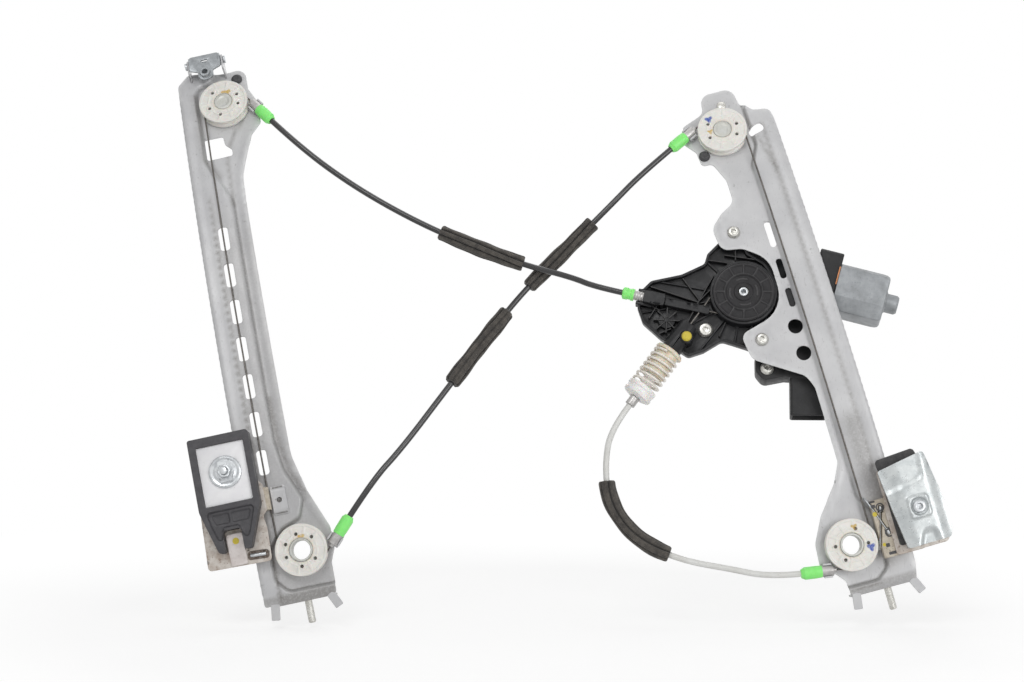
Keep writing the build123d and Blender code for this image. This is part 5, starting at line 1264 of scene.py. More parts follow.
RIGHT_RAIL = PressedRail(
    name="right_rail", rail=RIGHT,
    outline=[(-11, -39, 3), (-11, -27, 4), (-17, -20, 5), (-28.5, -12, 7), (-27, 8, 14), (-17, 27, 20),
             (1, 50, 14), (9, 66, 10), (9, 128, 10), (5, 139, 12), (-33, 163, 9), (-36.5, 185, 7),
             (4, 196, 26), (5, 240, 24), (-14, 254, 14), (-31, 257, 8), (-33, 277, 10), (-22, 287, 6),
             (-9, 294, 9), (-9, 314, 12), (-16, 331, 5), (-25, 331, 4), (-26, 344, 4), (-34, 354, 3),
             (-30, 369, 3), (-10, 376, 8), (-8, 392, 14), (20, 392, 13), (22, 376, 6), (31, 366, 8),
             (44, 364, 6), (46.5, 355, 10), (46.5, -24, 12), (43, -39, 3)],
    tray=[(-80, -32, 0), (14, -32, 8), (24, -24, 9), (24, 22, 9), (16, 36, 12), (16, 320, 12),
          (24.5, 336, 10), (24.5, 440, 0), (-80, 440, 0)],
    holes=[*(slot_outline(11.8, h, 5, t, 2.2) for h, t in ((259.5, 22), (229.5, 17), (204.5, 16))),
           circle(8.6, 180.4, 6), circle(8.6, 157.6, 6), slot_outline(28.5, 349, 13, 7.5, 3.4, 14),
           circle(0, 0, 8.4)],
    beads=[Bead(np.array([(35.5, -15), (35.5, 352)]), -0.9, 1.9),
           Bead(circle(-16.8, 268.8, 10.5)[:20], -0.7, 1.1), Bead(circle(-20.9, 176.9, 10.5)[:20], -0.7, 1.1),
           Bead(np.array([(-25, -8), (-24, 8), (-14.5, 27), (3.5, 51), (11.6, 66), (11.6, 128), (7, 141),
                          (-30, 165)]), 1.0, 2.0)],
    flange=(-10.5, 42.5), lip=(46.5, 1, -20, 350), tabs=[(-6.5, -8), (40, 25)], quiet=(44, 322), tray_shade=0.0,
    shadows=[(np.array([(-11, -35), (43, -35)]), 0.8), (np.array([(26, -20), (27, 30), (28, 95)]), 7.0),
             (np.array([(34.5, -15), (34.5, 352)]), 1.8), (np.array([(26, 352), (30, 330), (34, 310)]), 1.6)])


def both_rails() -> None:
    """Make both rails with what is pressed or welded to them."""
    for rail, ends in ((LEFT_RAIL, (LEFT_TOP, LEFT_LOW)), (RIGHT_RAIL, (RIGHT_TOP, RIGHT_LOW))):
        rail.build()
        fittings = rail.fittings(ends)
        if rail is LEFT_RAIL:
            top_ears(fittings)
            clip(fittings)
        fittings.build(RAIL_STEEL, rail.name, Role.TRIM, soften=0.3, sharp=40)


def top_ears(piece: Piece) -> None:
    """Add the two upright ears at the top of the left rail that carry the bracket's pin.

    Args:
        piece: Piece that takes them.
    """
    height, proud = 417.0, 6.0
    for across, root in ((-26.0, -1.5), (3.6, -5.5)):
        place = LEFT.face(across, height)
        side = Placement(place.origin, place.z, place.y, -place.x)
        outline = rounded([(root, -14, 0), (9.5, -10, 2), (9.5, 5, 4), (2, 5, 2), (root, -5, 0)], 5)
        slab(piece, side.at, outline, [circle(proud, 0, 2.05, 20)], flat_at(0.0), -SHEET, 3.0)


def clip(piece: Piece) -> None:
    """Add the small raised bridge on the left rail beside the carrier.

    Args:
        piece: Piece that takes it.
    """
    loop = rounded([(-16, 31, 1.5), (-4, 31, 1.5), (-4, 54, 1.5), (-16, 54, 1.5)], 4)
    pit = Step(circle(-10, 42.5, 1.9, 20), -2.2, 0.5)
    # The bridge's hole and the gaps at its upper and lower ends are darkened with painted shade
    slab(piece, LEFT.point, loop, [], lambda p: 3.0 - 1.6 * eased((np.abs(p[:, 1] - 42.5) - 8) / 2.5)
         + pit.at(p), -0.4, 1.2, [pit.loop], (-0.3, 0.3),
         soot=lambda p: eased((2.3 - np.hypot(p[:, 0] + 10, p[:, 1] - 42.5)) / 0.5)
         + eased((1.0 - np.abs(np.abs(p[:, 1] - 42.5) - 10.6)) / 0.5) * (np.abs(p[:, 0] + 10) < 4.5))


# Pulleys


@dataclass
class Pulley:
    """A grooved acetal wheel with shallow pockets, ribs and small holes in its face."""

    name: str
    end: CableEnd
    bore: float
    recess: float
    grease: tuple[float, float, float]
    paint: tuple[float, float, float]
    holes: tuple[float, ...]
    radius: float = 21.0
    width: float = 9.6
    gap: float = 0.4
    hole_circle: float = 13.2
    hole_radius: float = 1.3
    pocket: float = 0.55

    def profile(self) -> Array:
        """Closed half section: face, rim, groove, rim, back and bore.

        Returns:
            Radius and level of each point.
        """
        middle, groove = self.width / 2, PITCH_RADIUS - CABLE_RADIUS - 0.1
        face = np.linspace(self.recess + 0.4, self.radius - 0.7, 44)
        corners = [(self.radius, self.width, 0.6), (self.radius, middle + 2.4, 0.3),
                   (groove, middle + 0.9, 0.6), (groove, middle - 0.9, 0.6), (self.radius, middle - 2.4, 0.3),
                   (self.radius, 0, 0.6), (self.bore, 0, 0.3), (self.bore, self.width - 1.5, 0.2),
                   (self.recess, self.width - 1.5, 0.2), (self.recess, self.width, 0.3)]
        turned = rounded(corners, 4)
        return np.concatenate([turned, np.stack([face, np.full_like(face, self.width)], 1)])

    def build(self) -> bpy.types.Object:
        """Mould the wheel: pockets and holes are pressed into the face by radius and angle.

        Returns:
            The wheel.
        """
        profile = self.profile()
        turn = angles(252)[None, :]
        radius, level = profile[:, :1], profile[:, 1:]
        on_face = (level > self.width - 0.02) & (radius > self.recess)
        spoke = np.abs((turn * 10 / (2 * np.pi) + 0.5) % 1 - 0.5) * 2 * np.pi * radius / 10
        band = eased((2.9 - np.abs(radius - 16.2)) / 0.7)
        pockets = band * eased((spoke - 0.7) / 0.6)
        inner = eased((1.4 - np.abs(radius - 11.2)) / 0.5) * eased((spoke - 0.5) / 0.5)
        near = np.minimum.reduce([np.abs((turn - np.radians(a) + np.pi) % (2 * np.pi) - np.pi)
                                  for a in self.holes])
        hole = np.hypot(radius - self.hole_circle, near * radius)
        pit = eased((self.hole_radius + 0.25 - hole) / 0.5)
        boss = eased((self.hole_radius + 1.5 - hole) / 0.4)
        sunk = np.where(on_face, self.pocket * (pockets + 0.6 * inner) * (1 - boss) + 2.6 * pit, 0)
        place = self.end.rail.face(0, self.end.height, self.gap - TRAY_DEPTH)
        x, y = radius * np.cos(turn), radius * np.sin(turn)

        def blot(spot: tuple[float, float, float]) -> Array:
            """Share of a smear: one at its middle, with a wavy edge.

            Args:
                spot: The smear's x, y and radius.

            Returns:
                A share per point.
            """
            far = np.hypot(x - spot[0], y - spot[1])
            ragged = spot[2] * (1 + 0.25 * np.sin(3 * np.arctan2(y - spot[1], x - spot[0])))
            return on_face * eased((ragged - far) / 1.4)

        hub = on_face * np.exp(-np.abs(radius - self.recess - 0.4) / 0.7) * 0.3
        piece = Piece(self.name + "_moulding")
        # The small holes are darkened with painted shade; grease and paint are real smears
        piece.grid(place.at(x, y, level - sunk), around=True, looped=True, pit=on_face * pit,
                   grease=np.clip(blot(self.grease) + hub, 0, 1), paint=blot(self.paint))
        return piece.build(ACETAL, self.name, sharp=70)


PULLEYS = [
    Pulley("left_upper_pulley", LEFT_TOP, bore=6.48, recess=8.0, grease=(3.5, 7.5, 4.2), paint=(40, 0, 1),
           holes=(128, 200, 252, 20, 338)),
    Pulley("left_lower_pulley", LEFT_LOW, bore=8.58, recess=9.7, grease=(2, 10, 3.0), paint=(40, 0, 1),
           holes=(98, 40, 150, 196, 262, 318)),
    Pulley("right_upper_pulley", RIGHT_TOP, bore=6.48, recess=8.0, grease=(-10.5, 0.5, 2.6),
           paint=(-8.5, 12.5, 3.4), holes=(142, 8, 202, 322)),
    Pulley("right_lower_pulley", RIGHT_LOW, bore=8.58, recess=9.7, grease=(5.5, 13.4, 2.8),
           paint=(14.4, -5.5, 3.4), holes=(62, 352, 172, 232)),
]


def axles() -> None:
    """Make the clinched axles of the upper pulleys and the open eyelets of the lower ones."""
    solid, open_ones = Piece("clinched_axles"), Piece("open_eyelets")
    for end, shaft, head, bore, piece in (
            (LEFT_TOP, 6.4, 7.7, 0.0, solid), (RIGHT_TOP, 6.4, 7.7, 0.0, solid),
            (LEFT_LOW, 8.5, 9.4, 7.6, open_ones), (RIGHT_LOW, 8.5, 9.4, 7.6, open_ones)):
        top, back = 10.0, -1.5 - 1.2
        dish = [(0.0, top - 0.5, 0), (3.8, top - 0.5, 0.5),
                (5.2, top, 0.5)] if bore == 0 else [(bore, top, 0.4)]
        low = [(0.0, back, 0)] if bore == 0 else [(bore, back, 0.3)]
        corners = [*low, (head, back, 0.3), (head, -1.52, 0.2), (shaft, -1.52, 0.1), (shaft, top - 1.2, 0.1),
                   (head, top - 1.2, 0.1), (head, top, 0.5), *dish[::-1]]
        lathe(piece, end.rail.face(0, end.height, -TRAY_DEPTH), corners, 72)
    solid.build(AXLE_STEEL, "upper_axles")
    open_ones.build(AXLE_STEEL, "lower_eyelets")


# Cables and conduits


def rail_cable(end: CableEnd, low: CableEnd, met: tuple[float, float, float, float]) -> Array:
    """Path of a rail's cable: into the upper groove, down the rail, round the lower groove, out.

    Args:
        end: Cable end at the upper pulley.
        low: Cable end at the lower pulley.
        met: Angles in degrees where the rope meets and leaves the upper and the lower groove.

    Returns:
        Points in order.
    """
    first, line, again, last = met
    across = PITCH_RADIUS * np.cos(np.radians(line))
    heights = np.linspace(end.height, low.height, 260)[1:-1]
    return np.concatenate([
        end.at(np.linspace(18.6, 0.5, 30)), end.groove(np.linspace(first, line, 70)),
        end.rail.point(across + 0 * heights, heights, CABLE_PROUD + 0 * heights),
        low.groove(np.linspace(again, last, 70)), low.at(np.linspace(0.5, 18.6, 30))])


def helix(place: Placement, radius: float, start: float, end: float, turns: float) -> Array:
    """Path of a coil: radius times cosine and sine of the turn, rising evenly with it."""
    turn = np.linspace(0, 2 * np.pi * turns, int(90 * turns))
    return place.at(radius * np.cos(turn), radius * np.sin(turn), np.linspace(start, end, len(turn)))


def cables() -> None:
    """Make the wire ropes on the rails, on the drum and between drum and conduits."""
    left = Piece("left_wire_rope")
    rope(left, rail_cable(LEFT_TOP, LEFT_LOW, (32, 180, 180, 316)), TOWARDS)
    left.build(WIRE, "left_cable", sharp=80)
    right = Piece("right_wire_rope")
    rope(right, rail_cable(RIGHT_TOP, RIGHT_LOW, (117, 0, 0, -98)), TOWARDS)
    right.build(WIRE, "right_cable", sharp=80)
    leads = Piece("drum_leads")
    rope(leads, UPPER_CABLE.at(np.linspace(9, 78, 40)), DRIVE.z)
    rope(leads, LOWER_CABLE.at(np.linspace(9, 122, 60)), DRIVE.z)
    leads.build(WIRE, "cable_leads", sharp=80)
    wound = Piece("drum_turns")
    rope(wound, helix(DRIVE, DRUM_PITCH_RADIUS, CABLE_LEVEL - 3.2, CABLE_LEVEL + 3.2, 4), DRIVE.z)
    wound.build(WIRE, "drum_winding", sharp=80)


@dataclass
class Sleeve:
    """A ribbed foam sleeve pushed over a conduit, between two shares of its length."""

    name: str
    start: float
    end: float
    turn: float
    radius: float = 7.2
    bore: float = 2.45
    grooves: tuple[float, ...] = (20, 78, 128, 165, 222, 280, 330)
    groove_depths: tuple[float, ...] = (2.0, 1.3, 2.2, 1.0, 1.8, 1.2, 2.1)
    groove_half: float = 0.12
    rows: int = 90
    columns: int = 112

    def build(self, line: Array, reference: Array) -> bpy.types.Object:
        """Carry a ribbed ring along the conduit's own line.

        The radius is the sleeve's, less a groove at each of seven angles and a slow squeeze along
        the length; the ends are pulled in over the last millimetre.

        Args:
            line: Points of the conduit's centreline.
            reference: Direction that the ring's angles start from.

        Returns:
            The sleeve.
        """
        far = lengths_of(line)
        stops = np.linspace(self.start, self.end, self.rows) * far[-1]
        path = np.stack([np.interp(stops, far, line[:, i]) for i in range(3)], 1)
        along = np.linspace(0, 1, self.rows)[:, None]
        angle = angles(self.columns)[None, :]
        grooves = np.radians(np.array(self.grooves) + self.turn)[:, None, None]
        depths = np.array(self.groove_depths)[:, None, None]
        twist = 0.25 * np.sin(3 * along + self.turn)
        off = np.abs((angle - grooves - twist + np.pi) % (2 * np.pi) - np.pi)
        cut = (depths * np.exp(-((off / self.groove_half) ** 2))).sum(0)
        squeeze = 0.35 * np.sin(9 * along + self.turn) + 0.25 * np.sin(21 * along + 2 * angle)
        size = self.radius - 0.45 - cut + squeeze * 0.7
        size = size - 0.8 * (1 - eased(along * 60)) - 0.8 * (1 - eased((1 - along) * 60))
        size = np.minimum(size, self.radius)
        outer = carried(path, reference, size * np.cos(angle), size * np.sin(angle))
        inner = carried(path, reference, self.bore * np.cos(angle), self.bore * np.sin(angle))
        piece = Piece(self.name)
        # The grooves are darkened with painted shade
        shade = np.concatenate([np.clip(cut / 1.8, 0, 1), np.zeros_like(cut)])
        piece.grid(np.concatenate([outer, inner[::-1]]), around=True, looped=True, groove=shade)
        return piece.build(FOAM, "foam_sleeves", sharp=75)


@dataclass
class Conduit:
    """A cable's conduit, held by a ferrule at each end, on one smooth spline."""

    name: str
    node: str
    finish: Finish
    start: Array
    start_lead: Array
    middle: list[Corner]
    end_lead: Array
    end: Array
    length: float
    sleeves: list[Sleeve]
    diameter: float = 5.0

    def curve(self, thick: bool) -> bpy.types.Curve:
        """The spline through the route's control points, as a tube or as a bare line.

        Args:
            thick: Whether it is the tube.

        Returns:
            The curve.
        """
        points = np.array([self.start, self.start_lead, *self.middle, self.end_lead, self.end]) * MM
        made = bpy.data.curves.new(self.name, "CURVE")
        made.dimensions, made.resolution_u = "3D", 24
        made.bevel_depth, made.bevel_resolution = (self.diameter / 2 * MM, 6) if thick else (0, 0)
        made.use_fill_caps = thick
        spline = made.splines.new("NURBS")
        spline.points.add(len(points) - 1)
        spline.points.foreach_set("co", np.c_[points, np.ones(len(points))].ravel())
        spline.order_u, spline.use_endpoint_u = 3, True
        return made

    def line(self) -> Array:
        """Points of the spline itself, in millimetres.

        Returns:
            Points in order.
        """
        bare = bpy.data.objects.new(self.name + "_line", self.curve(False))
        mesh = bpy.data.meshes.new_from_object(bare)
        points = np.empty(len(mesh.vertices) * 3)
        mesh.vertices.foreach_get("co", points)
        bpy.data.objects.remove(bare)
        bpy.data.meshes.remove(mesh)
        return points.reshape(-1, 3) / MM

    def build(self) -> bpy.types.Object:
        """Make the conduit with its sleeves.

        Returns:
            The conduit.
        """
        made = shown(self.name, self.curve(True))
        dress(made, self.finish, self.node, Role.WHOLE, 0, 0, 0)
        line = self.line()
        worn = [sleeve.build(line, TOWARDS) for sleeve in self.sleeves]
        return made


CONDUITS = [
    Conduit("upper_conduit", "conduit_upper", BLACK_JACKET, start=LEFT_TOP.at(32), start_lead=LEFT_TOP.at(76),
            middle=[(-442, 82, 333), (-395, 75, 305), (-349, 70, 283), (-294, 65.5, 262), (-251, 65, 251)],
            end_lead=UPPER_CABLE.at(122), end=UPPER_CABLE.at(92), length=356.4,
            sleeves=[Sleeve("upper_foam_sleeve", 0.53, 0.74, 10)]),
    Conduit("cross_conduit", "conduit_cross", BLACK_JACKET, start=RIGHT_TOP.at(32),
            start_lead=RIGHT_TOP.at(76), middle=[(-217, 82, 313), (-255, 83, 275), (-291, 74, 240),
                                                 (-322, 55, 201), (-354, 33, 159), (-390, 13, 111)],
            end_lead=LEFT_LOW.at(76), end=LEFT_LOW.at(32), length=441.7,
            sleeves=[Sleeve("cross_foam_sleeve_high", 0.237, 0.412, 40),
                     Sleeve("cross_foam_sleeve_low", 0.48, 0.66, 75)]),
    Conduit("lower_conduit", "conduit_lower", GREY_JACKET, start=LOWER_CABLE.at(132),
            start_lead=LOWER_CABLE.at(158), middle=[(-226, 8, 100), (-224, 3, 72), (-210, 0, 48),
                                                    (-188, -2, 31), (-160, -4, 21), (-130, -5, 16)],
            end_lead=RIGHT_LOW.at(66), end=RIGHT_LOW.at(32), length=271.4,
            sleeves=[Sleeve("lower_foam_sleeve", 0.265, 0.565, 120)]),
]


def conduit_ends() -> None:
    """Make the cast ferrules and the green collars at the conduits' ends."""
    ferrules, collars = Piece("cast_ferrules"), Piece("green_collars")
    for end in (LEFT_TOP, LEFT_LOW, RIGHT_TOP, RIGHT_LOW):
        lathe(ferrules, end.line, [(0.76, 14.6, 0.1), (2, 14.6, 0.3), (2, 17, 0.3), (4.2, 17, 0.5),
                                   (4.2, 32, 0.2), (0.76, 32, 0.1)], 40)
        lathe(collars, end.line, [(4.22, 26, 0.1), (4.75, 26, 0.3), (5.1, 31, 1), (5.1, 40, 0.6),
                                  (4.4, 41.2, 0.4), (3.5, 43, 0.3), (2.5, 43, 0.1), (2.5, 32, 0.1),
                                  (4.22, 32, 0.1)], 24)
    rings = [(4.2 if k % 2 else 3.7, 74.3 + k * 1.1, 0.25) for k in range(17)]
    lathe(ferrules, UPPER_CABLE.line, [(0.76, 74, 0.1), *rings, (4.2, 92, 0.2), (0.76, 92, 0.1)], 40)
    lathe(ferrules, LOWER_CABLE.line, [(0.76, 118, 0.1), (4.2, 118, 0.2), (4.2, 132, 0.4), (0.76, 132, 0.1)],
          40)
    lathe(
        collars, UPPER_CABLE.line,
        [(4.22, 88, 0.1), (5.1, 88, 0.3), (5.1, 90.4, 0.3), (4.6, 91, 0.3), (4.6, 93, 0.3), (5.1, 93.6, 0.3),
         (5.1, 97, 0.5), (3.6, 98, 0.3), (2.5, 98, 0.1), (2.5, 92, 0.1), (4.22, 92, 0.1)],
        24)
    ferrules.build(FERRULE, "end_ferrules")
    collars.build(GREEN, "ferrule_collars", sharp=30)


# Drive


@dataclass
class Drive:
    """Drum housing, cover, motor and tensioner.

    The cover's face runs from its bore to its rim, and the edge's radii and levels close its section.
    """

    bore: float = 4.3
    rim: float = 24.6
    face_rows: int = 62
    edge_radii: tuple[float, ...] = (25.2, 25.6, 25.6, 4.3)
    edge_levels: tuple[float, ...] = (1.35, 0.7, -1.0, -1.0)
    cover_front: float = 1.5
    star: tuple[float, float] = (-55.3, -37.9)

    def cover(self) -> bpy.types.Object:
        """Drum cover: rings, spokes and raised fields pressed out of a disc by radius and angle.

        Returns:
            The cover.
        """
        face = np.linspace(self.bore, self.rim, self.face_rows)
        radius = np.concatenate([face, self.edge_radii])[:, None]
        turn = angles(288)[None, :]
        spoke = np.abs((turn * 12 / (2 * np.pi)) % 1 - 0.5) * 2 * np.pi * radius / 12
        small = np.abs((turn * 4 / (2 * np.pi) + 0.25) % 1 - 0.5) * 2 * np.pi * radius / 4
        ring = sum(np.exp(-(((radius - r) / 0.35) ** 2)) for r in (15.6, 23.9))
        field_high = eased((3.2 - np.abs(radius - 19.6)) / 0.6) * eased((spoke - 0.6) / 0.5)
        ribs = eased((0.55 - spoke) / 0.3) * eased((4.2 - np.abs(radius - 19.7)) / 0.5)
        inner = eased((5.2 - small) / 0.6) * eased((1.1 - np.abs(radius - 11.4)) / 0.5)
        relief = 0.35 * np.clip(ring, 0, 1) - 0.5 * field_high + 0.25 * ribs + 0.5 * inner
        dish = -0.9 * eased((14.8 - radius) / 1.0) * eased((radius - 7.4) / 0.8)
        level = self.cover_front - 0.35 + relief + dish
        rows = np.arange(len(radius))[:, None]
        edge = np.array(self.edge_levels)[np.clip(rows - self.face_rows, 0, 3)]
        level = np.where(rows >= self.face_rows, edge, level)
        # The rings, spokes and inner arcs get a painted highlight
        rubbed = np.clip(np.clip(ring, 0, 1) + ribs + inner, 0, 1) * (rows < self.face_rows) * 0.7
        piece = Piece("drum_cover_disc")
        piece.grid(DRIVE.at(radius * np.cos(turn), radius * np.sin(turn), level), around=True, looped=True,
                   rubbed=rubbed)
        return piece.build(COVER, "drum_cover", sharp=60)

    def ribs(self) -> bpy.types.Object:
        """Ribs of the housing: short walls with rounded tops between two points of the drive's face.

        Returns:
            The covers over the rope's lead.
        """
        piece = Piece("housing_rib_walls")
        x, y = self.star
        star = [((x, y), (x + 11 * np.cos(t), y + 11 * np.sin(t)), -7.2, 1.4)
                for t in np.radians(np.arange(0, 360, 45) + 12)]
        walls = [((-76, -13), (-34, -16), -7.4, 1.3), ((-52, 1), (-34, -14), -7.6, 1.2),
                 ((-34, -15), (-28, 10), -7.2, 1.3), ((-34, -15), (-27.5, -3), -7.0, 1.3),
                 ((-70, -40), (-63, -16), -7.8, 1.2), ((-34, -15), (-40, -44), -7.2, 1.4),
                 ((-37, 22), (-20, 24), -7.8, 1.2), ((-24, 30), (4, 33), -7.8, 1.2),
                 ((-20, 50), (-14, 28), -7.8, 1.2), ((-60, -52), (-50, -44), -8.0, 1.2),
                 ((10, -41), (14, -24), -7.8, 1.3), ((-10, -40), (-8, -27), -7.8, 1.2),
                 ((-74, -28), (-63, -31), -8.0, 1.1)]
        for start, end, top, thick in [*walls, *star]:
            start, end = np.array(start), np.array(end)
            run = (end - start) / np.linalg.norm(end - start)
            side = np.array([-run[1], run[0]]) * thick / 2
            round_off = np.array([(-1, HOUSING_BACK + 2.5), (-1, top - 0.5), (-0.55, top), (0.55, top),
                                  (1, top - 0.5), (1, HOUSING_BACK + 2.5)])
            flat = start + np.linspace(0, 1, 6)[:, None, None] * (end - start) + round_off[:, :1] * side
            level = np.broadcast_to(round_off[:, 1], flat.shape[:2])
            # The rib tops get a painted highlight
            shade = np.where(level > top - 0.3, 0.8, 0.0)
            piece.grid(DRIVE.at(flat[..., 0], flat[..., 1], level), around=True, ends=True, rubbed=shade)
        lathe(piece, DRIVE.moved(x, y, 0), [(0, -12, 0), (2.2, -12, 0.2), (2.2, -7.0, 0.5), (0, -7.0, 0)], 32)
        piece.build(HOUSING, "drum_housing", Role.TRIM, sharp=40)
        covers = Piece("housing_lead_covers")
        for middle, long, wide, top in ((71.0, 18, 10.4, -2.0), (43.0, 38, 6.4, -5.2)):
            spot = UPPER_CABLE.at(middle) - DRIVE.origin
            loop = slot_outline(spot @ DRIVE.x, spot @ DRIVE.y, long, wide, 1.6, UPPER_CABLE.heading)
            slab(covers, DRIVE.at, loop, [], flat_at(top), HOUSING_BACK + 2.5, 3.0)
        loop = slot_outline(11.8, 204.5, 8, 19, 2)
        slab(covers, RIGHT.point, loop, [], flat_at(-6.1), -7.6, 3.0)
        return covers.build(HOUSING, "drum_housing", Role.TRIM, soften=0.5, sharp=50)

    def tensioner(self) -> None:
        """Boot, spring and cap of the cable tensioner."""
        place = LOWER_CABLE.line
        boot = Piece("tensioner_boot")
        lathe(boot, place, [(8.5, 75, 0.2), (11.2, 75, 0.8), (12.2, 76.4, 0.5), (12.2, 77.8, 0.5),
                            (11.0, 78.4, 0.2), (9.6, 78.6, 0.3), (9.6, 101, 0.6), (5.2, 101, 0.3),
                            (5.2, 78, 0.1), (8.5, 78, 0.1)], 72)
        boot.build(BOOT, "tension_sleeve")
        spring = Piece("tensioner_coil")
        rod(spring, helix(place, 11.2, 79.5, 111.9, 6.5), place.z, 1.1)
        spring.build(SPRING, "tension_spring")
        cap = Piece("tensioner_cap")
        lathe(cap, place, [(5.2, 113, 0.3), (12.6, 113, 0.7), (12.6, 116, 0.5), (11.8, 117, 0.4),
                           (11.8, 119.5, 0.4), (12.6, 120.5, 0.5), (12.0, 122.6, 1.0), (8.0, 124, 0.8),
                           (4.2, 124, 0.3), (4.2, 118, 0.1), (5.2, 118, 0.1)], 72)
        cap.build(CAP, "tension_cap")

    def motor(self) -> None:
        """Motor can: an eight-sided section carried along the shaft, with a bearing boss."""
        shaft = Placement(DRIVE.at(0, 31.5, -30), -DRIVE.y, -DRIVE.z, DRIVE.x)
        section = rounded([(-21, -9, 2), (-16.5, -16, 1.6), (9, -16, 0.8), (21, -11.5, 1.6), (21, 9, 2),
                           (13, 16, 2), (-13, 16, 2), (-21, 9, 2)], 4)
        level = np.array([72.0, 72.3, 107.5, 111.0, 113.2, 114.0])[:, None]
        size = np.array([0.985, 1.0, 1.0, 0.985, 0.94, 0.88])[:, None]
        can = Piece("motor_can_drawn")
        can.grid(shaft.at(section[:, 0] * size, section[:, 1] * size, level + 0 * section[:, 0]), around=True,
                 ends=True)
        lathe(can, shaft, [(0, 113, 0), (9.4, 113, 0.3), (9.4, 114.4, 0.5), (8, 115.2, 0.4), (8, 123.2, 0.3),
                           (6.6, 125, 0.3), (0, 125, 0)], 48)
        can.build(CAN, "motor_can", sharp=24)
        strip = Piece("brush_terminal_strip")
        slab(strip, shaft.moved(0, -14.6, 71.2).at_side, slot_outline(-8, 0, 16, 1.1, 0.3), [], flat_at(0.9),
             -0.4, 3.0)
        strip.build(COPPER, "brush_housing", Role.TRIM, sharp=50)

    def build(self) -> None:
        """Make what shows of the drive."""
        self.cover()
        self.motor()
        softened("drum_housing", HOUSING, 0.5)
        self.ribs()
        self.tensioner()
        for node, finish, soften in (("drum_shaft", ZINC, 0.3), ("housing_pin", YELLOW, 0.4),
                                     ("housing_screws", BOLT_ZINC, 0.35), ("gear_housing", HOUSING, 0.6),
                                     ("gear_lid", DULL_ZINC, 0.5), ("brush_housing", CONNECTOR, 1.0),
                                     ("control_module", CONNECTOR, 0.8), ("cable_drum", WHEEL, 0.3)):
            softened(node, finish, soften)


# Carriers


